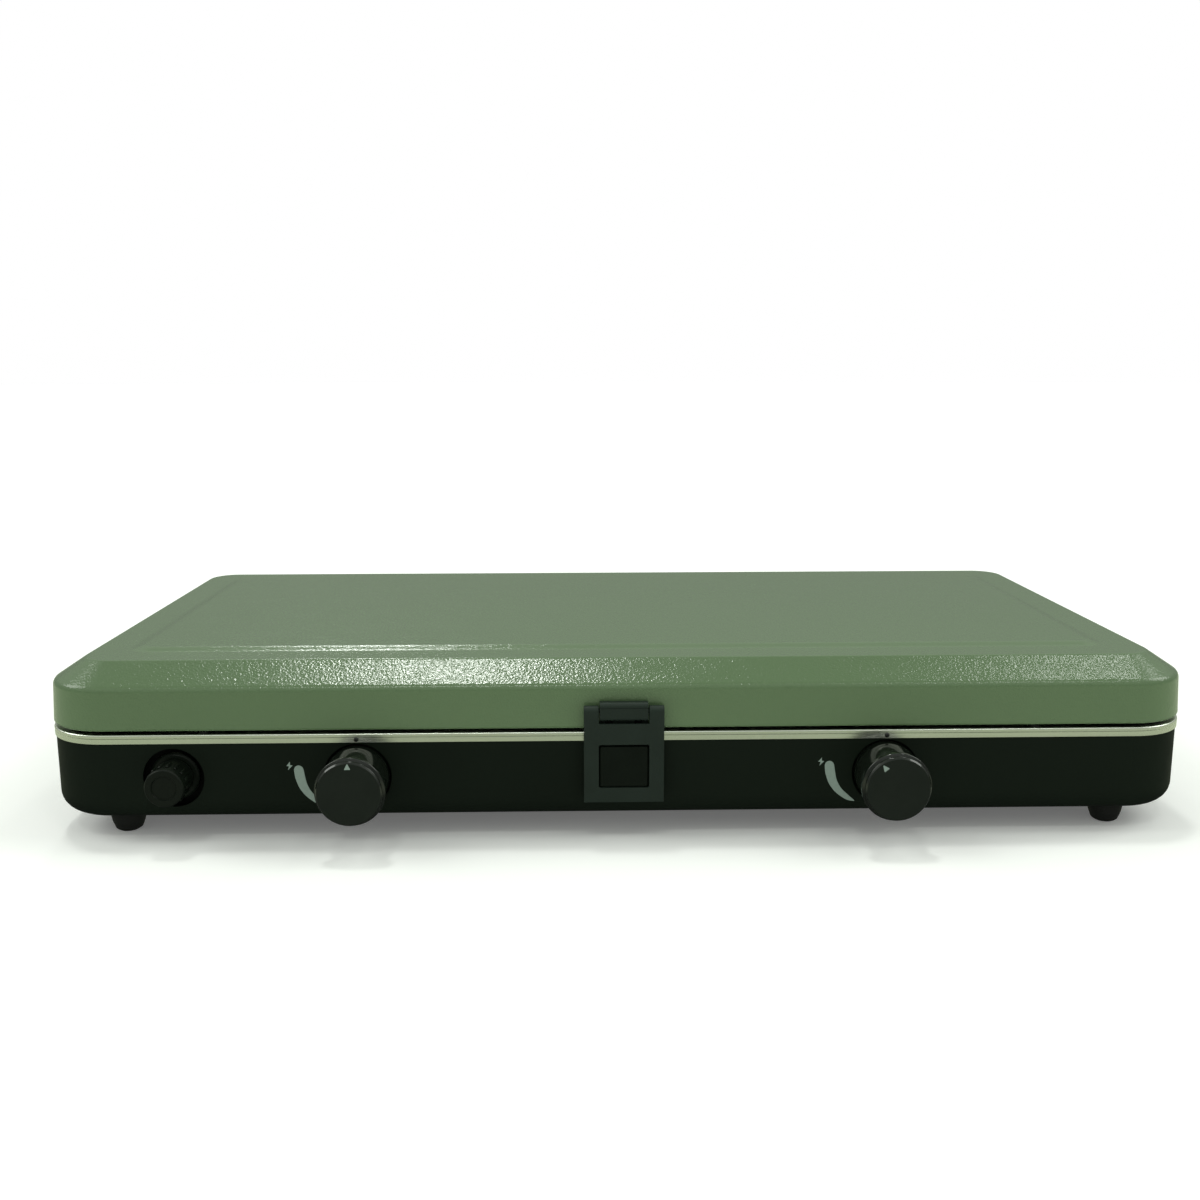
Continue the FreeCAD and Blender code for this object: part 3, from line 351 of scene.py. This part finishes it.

# Painted shade: the valve and inlet brackets, inlet nut, latch pin and rivets sit behind the case holes and the latch
# gaps. They get a near-black, low-gloss finish so they read as dark shade there. It is partly a black phosphate finish
# and partly painted shade.
mats["dark_phosphate_shade"] = plain_black("dark_phosphate_shade", (0.0035, 0.0042, 0.0035), 0.6, 0.1, 900, 0.00008)
SHADE_DARK_PARTS = ("left_valve_bracket", "right_valve_bracket", "inlet_bracket", "inlet_nut", "latch_pin", "latch_rivets")
unpainted = set()
for n, o in NODES.items():
    for s in o.material_slots:
        key = s.material.name.split(".")[0] if s.material else None
        if n in SHADE_DARK_PARTS:
            key = "dark_phosphate_shade"
        if key in mats:
            s.material = mats[key].m
        else:
            unpainted.add((n, key))
print("CAD nodes with no finish:", sorted(unpainted))


# ------------------------------------------------------------------ mesh helpers
def make(name, verts, faces, mat, body=None, slot=None, smooth=True, weighted=True, replaces=()):
    me = bpy.data.meshes.new(name)
    me.from_pydata([tuple(float(c) * S for c in v) for v in verts], [], [list(f) for f in faces])
    bm = bmesh.new()
    bm.from_mesh(me)
    bmesh.ops.remove_doubles(bm, verts=bm.verts, dist=1e-7)
    bmesh.ops.recalc_face_normals(bm, faces=bm.faces)
    bm.to_mesh(me)
    bm.free()
    return place(name, me, mat, body, slot, smooth, weighted, replaces)


def place(name, me, mat, body, slot=None, smooth=True, weighted=True, replaces=()):
    me.polygons.foreach_set("use_smooth", [smooth] * len(me.polygons))
    me.materials.clear()
    me.materials.append(mats[mat].m)
    o = bpy.data.objects.new(name, me)
    bpy.context.scene.collection.objects.link(o)
    if weighted:
        w = o.modifiers.new("normals", "WEIGHTED_NORMAL")
        w.mode = "FACE_AREA"
        w.weight = 100
        w.keep_sharp = True
    if body:
        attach(o, body)
    if replaces:
        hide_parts(*replaces)
    o if (slot or mat) != "mark_ink" else None
    return o


def fillet_path(pts, radii, step=6.0, closed=False):
    """2-D polyline with tangent arcs at its corners, one point every `step` degrees."""
    out, n = [], len(pts)
    for i in range(n):
        r = radii[i]
        if (not closed and i in (0, n - 1)) or r <= 0:
            out.append(tuple(pts[i]))
            continue
        p, a, b = np.array(pts[i], float), np.array(pts[i - 1], float), np.array(pts[(i + 1) % n], float)
        u, w = a - p, b - p
        lu, lw = np.linalg.norm(u), np.linalg.norm(w)
        u, w = u / lu, w / lw
        ang = math.acos(max(-1, min(1, float(u @ w))))
        if abs(ang - math.pi) < 1e-3:
            out.append(tuple(p))
            continue
        t = min(r / math.tan(ang / 2), 0.49 * lu, 0.49 * lw)
        r = t * math.tan(ang / 2)
        bis = (u + w) / np.linalg.norm(u + w)
        c = p + bis * (r / math.sin(ang / 2))
        s, e = p + u * t, p + w * t
        a0, a1 = math.atan2(*(s - c)[::-1]), math.atan2(*(e - c)[::-1])
        d = (a1 - a0 + math.pi) % (2 * math.pi) - math.pi
        k = max(2, int(math.ceil(abs(math.degrees(d)) / step)))
        for j in range(k + 1):
            q = a0 + d * j / k
            out.append((c[0] + r * math.cos(q), c[1] + r * math.sin(q)))
    return out


def offset_line(path, d):
    dirs = []
    for i in range(len(path) - 1):
        v = np.array(path[i + 1], float) - np.array(path[i], float)
        dirs.append(v / np.linalg.norm(v))
    out = []
    for i, p in enumerate(path):
        if i == 0 or i == len(path) - 1:
            n = dirs[0 if i == 0 else -1]
            out.append((p[0] - n[1] * d, p[1] + n[0] * d))
        else:
            n1, n2 = np.array([-dirs[i - 1][1], dirs[i - 1][0]]), np.array([-dirs[i][1], dirs[i][0]])
            k = d / (1 + float(n1 @ n2))
            out.append((p[0] + (n1 + n2)[0] * k, p[1] + (n1 + n2)[1] * k))
    return out


def loop(inset, r, z, k=16, long_=0, short=0):
    """Points of a rounded rectangle, inset from the rim band, at height z."""
    hx, hy = W / 2 - inset, D / 2 - inset
    r = max(0.05, min(r, hx - 0.01, hy - 0.01))
    pts = []
    for cx, cy, a0, extra in ((hx - r, hy - r, 0, long_), (-hx + r, hy - r, 90, short), (-hx + r, -hy + r, 180, long_), (hx - r, -hy + r, 270, short)):
        arc = [(cx + r * math.cos(math.radians(a0 + 90 * j / k)), YC + cy + r * math.sin(math.radians(a0 + 90 * j / k)), z) for j in range(k + 1)]
        pts += arc
        if extra:
            nx = {0: (-hx + r, hy), 90: (-hx, -hy + r), 180: (hx - r, -hy), 270: (hx, hy - r)}[a0]
            a, b = np.array(arc[-1]), np.array((nx[0], YC + nx[1], z))
            pts += [tuple(a + (b - a) * (j + 1) / (extra + 1)) for j in range(extra)]
    return pts


def skin_loops(loops, closed=False):
    n = len(loops[0])
    verts = [p for l in loops for p in l]
    faces = []
    m = len(loops)
    for i in range(m if closed else m - 1):
        a, b = i * n, ((i + 1) % m) * n
        for j in range(n):
            faces.append((a + j, a + (j + 1) % n, b + (j + 1) % n, b + j))
    return verts, faces


def boxed(name, lo, hi):
    me = bpy.data.meshes.new(name)
    bm = bmesh.new()
    bmesh.ops.create_cube(bm, size=1.0)
    for v in bm.verts:
        v.co = Vector([(lo[i] if v.co[i] < 0 else hi[i]) * S for i in range(3)])
    bm.to_mesh(me)
    bm.free()
    return bpy.data.objects.new(name, me)


def prism_x(name, outline, x0, x1):
    """Solid between x0 and x1 from an outline of (y, z) points."""
    n = len(outline)
    verts = [(x0, y, z) for y, z in outline] + [(x1, y, z) for y, z in outline]
    faces = [tuple(range(n)), tuple(range(2 * n - 1, n - 1, -1))] + [(i, (i + 1) % n, n + (i + 1) % n, n + i) for i in range(n)]
    me = bpy.data.meshes.new(name)
    me.from_pydata([tuple(c * S for c in v) for v in verts], [], faces)
    bm = bmesh.new()
    bm.from_mesh(me)
    bmesh.ops.recalc_face_normals(bm, faces=bm.faces)
    bm.to_mesh(me)
    bm.free()
    return bpy.data.objects.new(name, me)


def prism_y(name, outline, y0, y1):
    """Solid between y0 and y1 from an outline of (x, z) points."""
    n = len(outline)
    verts = [(x, y0, z) for x, z in outline] + [(x, y1, z) for x, z in outline]
    faces = [tuple(range(n)), tuple(range(2 * n - 1, n - 1, -1))] + [(i, (i + 1) % n, n + (i + 1) % n, n + i) for i in range(n)]
    me = bpy.data.meshes.new(name)
    me.from_pydata([tuple(c * S for c in v) for v in verts], [], faces)
    bm = bmesh.new()
    bm.from_mesh(me)
    bmesh.ops.recalc_face_normals(bm, faces=bm.faces)
    bm.to_mesh(me)
    bm.free()
    return bpy.data.objects.new(name, me)


def carve(o, cutters=(), bevel=0.0, segs=3, angle=35, add=()):
    """Join add, cut cutters, round the edges, and return the finished mesh."""
    link = bpy.context.scene.collection.objects.link
    extra = list(cutters) + list(add)
    for x in [o] + extra:
        link(x)
    for op, group in (("UNION", add), ("DIFFERENCE", cutters)):
        for c in group:
            m = o.modifiers.new("b", "BOOLEAN")
            m.operation, m.solver, m.object = op, "EXACT", c
    if bevel:
        m = o.modifiers.new("v", "BEVEL")
        m.width, m.segments, m.limit_method, m.angle_limit = bevel * S, segs, "ANGLE", math.radians(angle)
        m.use_clamp_overlap, m.miter_outer = True, "MITER_ARC"
    bpy.context.view_layer.update()
    me = bpy.data.meshes.new_from_object(o.evaluated_get(bpy.context.evaluated_depsgraph_get()))
    for x in [o] + extra:
        bpy.data.objects.remove(x)
    return me


# ------------------------------------------------------------------ lid
def build_lid():
    Z0, ZT, ZP = 55.8, 86.8, 88.2
    h = 0.5
    mid = [(6.0, Z0 + h), (h, Z0 + h), (h + 1.03, 76.2), (16.95, ZT - h), (24.0, ZT - h)]
    outer = fillet_path(offset_line(mid, h), [0, 1.4, 4.2, 3.2, 0], 5.0)
    inner = fillet_path(offset_line(mid, -h), [0, 0.4, 3.2, 2.2, 0], 6.0)

    def step(foot, top, z, r0, r1, n=14):
        out = []
        for j in range(n + 1):
            t = j / n
            s = t * t * (3 - 2 * t)
            out.append((foot + (top - foot) * t, r0 + (r1 - r0) * t, z + (ZP - ZT) * s))
        return out

    def crown(top, r, z, up):
        out = []
        for d in (3.0, 9.0, 20.0, 38.0, 60.0, 80.0, 92.0):
            q = min(1.0, d / 92.0)
            out.append((top + d, max(2.0, r - d * 0.06), z + up * (1 - (1 - q) ** 2)))
        return out

    rows = [(s, R - s, z) for s, z in outer]
    rows += [(31.8, 11.4, ZT)] + step(33.3, 40.9, ZT, 10.8, 7.1) + crown(40.9, 7.1, ZP, 0.22)
    inn = [(s, R - s, z) for s, z in inner]
    inn += [(32.4, 10.8, ZT - 1.0)] + step(34.1, 41.7, ZT - 1.0, 10.2, 6.5) + crown(41.7, 6.5, ZP - 1.0, 0.22)
    rows = list(reversed(rows))          # from the middle of the panel outwards, round the hem, and back inside
    loops = [loop(*q, k=18) for q in rows + inn]
    verts, faces = skin_loops(loops)
    n = len(loops[0])
    faces.append(tuple(range(n)))
    faces.append(tuple(range(len(verts) - n, len(verts))))
    return make("lid_cover", verts, faces, "lid_green", "lid", replaces=("lid_shell",))


lid = build_lid()

# ------------------------------------------------------------------ latch
LF = YF - 5.4                        # front of the latch plate
PY, PZ = YF - 2.7, 65.2              # its pin
LX = 0.4                             # its middle


def arc(cy, cz, r, a0, a1, n):
    return [(cy + r * math.cos(math.radians(a0 + (a1 - a0) * j / n)), cz + r * math.sin(math.radians(a0 + (a1 - a0) * j / n))) for j in range(n + 1)]


plate_prof = [(LF, 20.6), (LF + 1.8, 20.6), (LF + 1.8, 62.8)]
plate_prof += arc(PY, PZ, 2.7, -70, 180, 30)
plate = prism_x("hasp", plate_prof, LX - 19.1, LX + 19.1)
window = prism_y("window", fillet_path([(LX - 12.0, 27.8), (LX + 12.0, 27.8), (LX + 12.0, 49.1), (LX - 12.0, 49.1)], [0.8] * 4, 15, True), YF - 14, YF + 5)
notch = boxed("notch", (LX - 12.0, YF - 14, 59.4), (LX + 12.0, YF + 5, 82))
bore = prism_x("bore", arc(PY, PZ, 1.25, 0, 345, 23), -30, 30)
hasp = place("latch_hasp", carve(plate, (window, notch, bore), 0.28, 3), "latch_charcoal", "latch", replaces=("latch_plate",))

kn = fillet_path([(YF - 5.2, 60.9), (YF - 0.2, 60.9), (YF - 0.2, 69.6), (YF - 5.2, 69.6)], [1.4, 0, 2.2, 2.2], 8, True)
# lean of the lid's skirt, so that the foot of the bracket sits on it
foot = [(YF - 1.4, 56.9), (YF + 0.45, 56.9), (YF + 0.85, 64.5), (YF - 1.4, 64.5)]
bracket = prism_x("bracket", kn, LX - 11.5, LX + 11.5)
footp = prism_x("bracket_foot", foot, LX - 11.5, LX + 11.5)
wedge = prism_x("wedge", [(YF - 0.3, 61.0), (YF + 0.65, 61.0), (YF + 0.95, 69.2), (YF - 0.3, 69.2)], LX - 11.4, LX + 11.4)
groove = prism_x("groove", [(YF - 6.0, 66.9), (YF - 4.95, 66.9), (YF - 4.95, 67.3), (YF - 6.0, 67.3)], LX - 14, LX + 14)
pinhole = prism_x("pinhole", arc(PY, PZ, 1.2, 0, 345, 23), -30, 30)
bracket_o = place("latch_knuckle", carve(bracket, (pinhole, groove), 0.22, 3, add=(footp, wedge)), "latch_charcoal", "lid", replaces=("latch_bracket",))

# catch block that the plate's window drops over
block = prism_y("block", fillet_path([(LX - 11.5, 28.0), (LX + 11.5, 28.0), (LX + 11.5, 48.1), (LX - 11.5, 48.1)], [0.9] * 4, 15, True), YF - 4.8, YF + 0.62)
catch = place("catch_block", carve(block, (), 0.7, 4), "catch_black", "base", replaces=("latch_catch",))

# ------------------------------------------------------------------ knobs: matt faces, glossy turned sides
def build_knob(side, x):
    kf = KF
    prof = [(0.0, kf + 0.12), (9.0, kf + 0.06), (14.7, kf), (15.5, kf + 0.9), (15.5, kf + 2.2), (15.0, kf + 2.5), (15.0, kf + 3.0), (16.5, kf + 3.6),
            (16.5, kf + 5.7), (15.2, kf + 6.9), (13.2, kf + 9.0), (13.2, kf + 12.0), (15.4, YF - 3.6), (15.4, YF + 3.0), (9.4, YF + 3.0), (9.4, kf + 8.0), (6.2, kf + 8.0), (6.2, YF + 3.0), (3.05, YF + 3.0), (3.05, YF - 18.8)]
    rad = [0, 0, 0.3, 0.45, 0.2, 0.1, 0.1, 0.5, 0.8, 0.6, 1.2, 5.0, 5.0, 0.4, 0.3, 0.8, 0.8, 0.3, 0.2, 0]
    prof = fillet_path(prof, rad, 12)
    n = 96
    verts = [(x, prof[0][1], KZ)]
    for q, y in prof[1:]:
        verts += [(x + q * math.cos(2 * math.pi * i / n), y, KZ + q * math.sin(2 * math.pi * i / n)) for i in range(n)]
    faces = [(0, 1 + i, 1 + (i + 1) % n) for i in range(n)]
    for k in range(len(prof) - 2):
        a, b = 1 + k * n, 1 + (k + 1) * n
        faces += [(a + i, b + i, b + (i + 1) % n, a + (i + 1) % n) for i in range(n)]
    last = 1 + (len(prof) - 2) * n
    faces.append(tuple(range(last, last + n)))
    o = make(side + "_knob_cap", verts, faces, "knob_black", side + "_turn", replaces=(side + "_knob",))
    o.data.materials.append(mats["knob_face"].m)
    for p in o.data.polygons:
        c = p.center / S
        if c.y < kf + 0.2 and math.hypot(c.x - x, c.z - KZ) < 15.0:
            p.material_index = 1
    return o


for side, sx in (("left", -1), ("right", 1)):
    build_knob(side, sx * KX)

# ------------------------------------------------------------------ printed marks
def catmull(pts, n=6):
    out = []
    for i in range(len(pts) - 1):
        p0, p1, p2, p3 = (np.array(pts[max(0, i - 1)]), np.array(pts[i]), np.array(pts[i + 1]), np.array(pts[min(len(pts) - 1, i + 2)]))
        for j in range(n):
            t = j / n
            out.append(tuple(0.5 * (2 * p1 + (p2 - p0) * t + (2 * p0 - 5 * p1 + 4 * p2 - p3) * t * t + (3 * p1 - p0 - 3 * p2 + p3) * t ** 3)))
    out.append(tuple(pts[-1]))
    return out


def mark(name, outline, y, body, cx=0.0, cz=0.0, thick=0.06):
    o = prism_y(name, [(x + cx, z + cz) for x, z in outline], y - thick, y + 0.02)
    bpy.context.scene.collection.objects.link(o)
    me = o.data.copy()
    bpy.data.objects.remove(o)
    return place(name, me, "mark_ink", body, smooth=False, weighted=False)


outer_c = [(-14.7, -14.75), (-18.02, -14.1), (-21.26, -12.21), (-24.53, -9.43), (-27.29, -5.53), (-29.06, -0.6), (-29.56, 3.3)]
cap_c = [(-29.55, 3.9), (-29.1, 4.9), (-28.3, 5.55), (-27.3, 5.8), (-26.3, 5.5), (-25.45, 4.8), (-25.0, 3.75)]
inner_c = [(-24.9, 2.9), (-23.66, -3.38), (-21.41, -7.83), (-18.12, -11.17), (-14.53, -14.42)]
crescent = catmull(outer_c) + cap_c + catmull(inner_c)
bolt = [(0.60, 1.00), (0.02, 0.50), (0.40, 0.47), (0.22, 0.00), (0.98, 0.56), (0.58, 0.59)]
for side, sx, b0, b1 in (("left", -1, (-33.88, 3.33), (-30.76, 7.71)), ("right", 1, (-32.86, 3.36), (-29.82, 7.52))):
    mark(side + "_flame_scale", crescent, CASE_Y, "base", sx * KX - (0.7 if sx < 0 else 0.0), KZ)
    mark(side + "_spark_mark", [(b0[0] + u * (b1[0] - b0[0]), b0[1] + v * (b1[1] - b0[1])) for u, v in bolt], CASE_Y, "base", sx * KX, KZ)
tri_l = fillet_path([(0.0, 15.0), (-1.6, 12.0), (1.45, 12.0)], [0.25] * 3, 40, True)
tri_r = fillet_path([(-7.95, 12.15), (-7.05, 8.5), (-4.75, 10.4)], [0.25] * 3, 40, True)
mark("left_pointer", tri_l, KF, "left_turn", -KX, KZ)
mark("right_pointer", tri_r, KF, "right_turn", KX, KZ)

# ------------------------------------------------------------------ return springs, squeezed as the knobs are pushed
def spring(name, x, z, y0, y1, r, wire_r, turns, node):
    n_u, n_v = int(turns * 40), 12
    L = y1 - y0 - 2 * wire_r
    verts, faces = [], []
    for i in range(n_u + 1):
        t = i / n_u
        # closed ends, open middle
        e = 0.14
        s = 0.5 * t / e * 0.16 if t < e else (1 - 0.5 * (1 - t) / e * 0.16 if t > 1 - e else 0.08 + (t - e) / (1 - 2 * e) * 0.84)
        a = 2 * math.pi * turns * t
        c = np.array([x + r * math.cos(a), y0 + wire_r + L * s, z + r * math.sin(a)])
        er = np.array([math.cos(a), 0, math.sin(a)])
        ey = np.array([0, 1.0, 0])
        for j in range(n_v):
            b = 2 * math.pi * j / n_v
            verts.append(tuple(c + wire_r * (er * math.cos(b) + ey * math.sin(b))))
    for i in range(n_u):
        for j in range(n_v):
            a, b = i * n_v, (i + 1) * n_v
            faces.append((a + j, a + (j + 1) % n_v, b + (j + 1) % n_v, b + j))
    faces.append(tuple(range(n_v)))
    faces.append(tuple(range(n_u * n_v, (n_u + 1) * n_v)))
    o = make(name, verts, faces, "spring_steel", "base", weighted=False, replaces=(node,))
    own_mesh(o)
    return o


for side, sx in (("left", -1), ("right", 1)):
    spring(side + "_return_spring", sx * KX, KZ, YF + 15.1, YF + 30.95, 4.45, 0.45, 7.5, side + "_knob_spring")

# ------------------------------------------------------------------ stage, light and camera
def stage_setup():
    sc = bpy.context.scene
    # floor
    me = bpy.data.meshes.new("floor")
    n = 96
    me.from_pydata([(12 * math.cos(2 * math.pi * i / n), 12 * math.sin(2 * math.pi * i / n), 0.0) for i in range(n)], [], [list(range(n))])
    fl = bpy.data.objects.new("floor", me)
    sc.collection.objects.link(fl)
    m = Mat("floor_white", (0.95, 0.95, 0.95), rough=0.9, spec=0.0, Emission_Color=(1, 1, 1, 1), Emission_Strength=0.12)
    clear = m.node("ShaderNodeBsdfTransparent")
    geo = m.node("ShaderNodeNewGeometry")
    mx = m.node("ShaderNodeMixShader")
    m.link(geo.outputs["Backfacing"], mx.inputs[0])
    m.link(m.b.outputs[0], mx.inputs[1])
    m.link(clear.outputs[0], mx.inputs[2])
    m.link(mx.outputs[0], m.out.inputs[0])
    me.materials.append(m.m)
    fl.visible_glossy = False
    # pale backdrop, seen but giving no light
    bm = bmesh.new()
    bmesh.ops.create_uvsphere(bm, u_segments=48, v_segments=24, radius=14.0)
    me2 = bpy.data.meshes.new("backdrop")
    bm.to_mesh(me2)
    bm.free()
    bd = bpy.data.objects.new("backdrop", me2)
    sc.collection.objects.link(bd)
    mb = bpy.data.materials.new("backdrop_white")
    mb.use_nodes = True
    mb.node_tree.nodes.clear()
    e = mb.node_tree.nodes.new("ShaderNodeEmission")
    e.inputs["Color"].default_value = (1, 1, 1, 1)
    e.inputs["Strength"].default_value = 1.0
    ou = mb.node_tree.nodes.new("ShaderNodeOutputMaterial")
    mb.node_tree.links.new(e.outputs[0], ou.inputs[0])
    me2.materials.append(mb)
    bd.visible_diffuse = bd.visible_glossy = bd.visible_transmission = bd.visible_shadow = bd.visible_volume_scatter = False

    # sky: a soft overhead tent, darker towards and below the horizon
    w = bpy.data.worlds.new("studio")
    sc.world = w
    w.use_nodes = True
    nt = w.node_tree
    nt.nodes.clear()
    co = nt.nodes.new("ShaderNodeTexCoord")
    sp = nt.nodes.new("ShaderNodeSeparateXYZ")
    rp = nt.nodes.new("ShaderNodeValToRGB")
    mr = nt.nodes.new("ShaderNodeMapRange")
    bg = nt.nodes.new("ShaderNodeBackground")
    ow = nt.nodes.new("ShaderNodeOutputWorld")
    nt.links.new(co.outputs["Generated"], sp.inputs[0])
    nt.links.new(sp.outputs["Z"], mr.inputs["Value"])
    mr.inputs["From Min"].default_value = -1
    mr.inputs["From Max"].default_value = 1
    nt.links.new(mr.outputs[0], rp.inputs[0])
    stops = [(0.0, 0.05), (0.28, 0.12), (0.37, 0.54), (0.43, 0.54), (0.50, 0.24), (0.60, 0.30), (0.72, 0.60), (0.90, 0.72), (0.96, 0.46), (1.0, 0.42)]
    e = rp.color_ramp.elements
    while len(e) < len(stops):
        e.new(0.5)
    for i, (p, v) in enumerate(stops):
        e[i].position = p
        e[i].color = (v * 0.98, v * 1.10, v * 0.78, 1) if 0.3 < p < 0.47 else (v * 0.95, v * 1.01, v * 0.92, 1)
    nt.links.new(rp.outputs[0], bg.inputs["Color"])
    bg.inputs["Strength"].default_value = 1.0
    nt.links.new(bg.outputs[0], ow.inputs["Surface"])

    def sun(name, d, power, angle):
        l = bpy.data.lights.new(name, "SUN")
        l.energy, l.angle = power, math.radians(angle)
        l.color = (0.96, 1.0, 0.94)
        o = bpy.data.objects.new(name, l)
        sc.collection.objects.link(o)
        o.rotation_mode = "QUATERNION"
        o.rotation_quaternion = Vector(d).to_track_quat("Z", "Y")
        return o

    sun("soft_left", (-0.10, 0.19, 0.98), 0.49, 6)
    sun("side_left", (-0.76, 0.08, 0.65), 0.72, 30)
    sun("side_right", (0.76, 0.08, 0.65), 0.70, 30)
    sun("soft_right", (0.40, 0.15, 0.90), 0.11, 6)
    sun("back_left", (-0.16, 0.82, 0.55), 0.20, 7)
    sun("front_left", (-0.10, -0.50, 0.86), 0.17, 6)
    sun("front_right", (0.34, -0.46, 0.82), 0.08, 6)

    sc.view_settings.view_transform = "Standard"
    sc.view_settings.look = "None"
    sc.view_settings.exposure = 0.0
    sc.view_settings.gamma = 1.0

    # camera
    yaw, pitch, roll = -0.022157, 0.190123, -0.001643
    cy, sy, cp, sp_ = math.cos(yaw), math.sin(yaw), math.cos(pitch), math.sin(pitch)
    fwd = Vector((-sy * cp, cy * cp, -sp_))
    right = Vector((cy, sy, 0.0))
    up = right.cross(fwd)
    cr, sr = math.cos(roll), math.sin(roll)
    r2, u2 = right * cr + up * sr, -right * sr + up * cr
    cam = bpy.data.cameras.new("camera")
    cam.sensor_width, cam.lens = 36.0, 37.513
    cam.clip_start, cam.clip_end = 0.01, 60.0
    co_ = bpy.data.objects.new("camera", cam)
    sc.collection.objects.link(co_)
    rot = Matrix((r2, u2, -fwd)).transposed()
    co_.matrix_world = Matrix.Translation(Vector((-0.02358, -0.70615, 0.22912))) @ rot.to_4x4()
    sc.camera = co_


stage_setup()
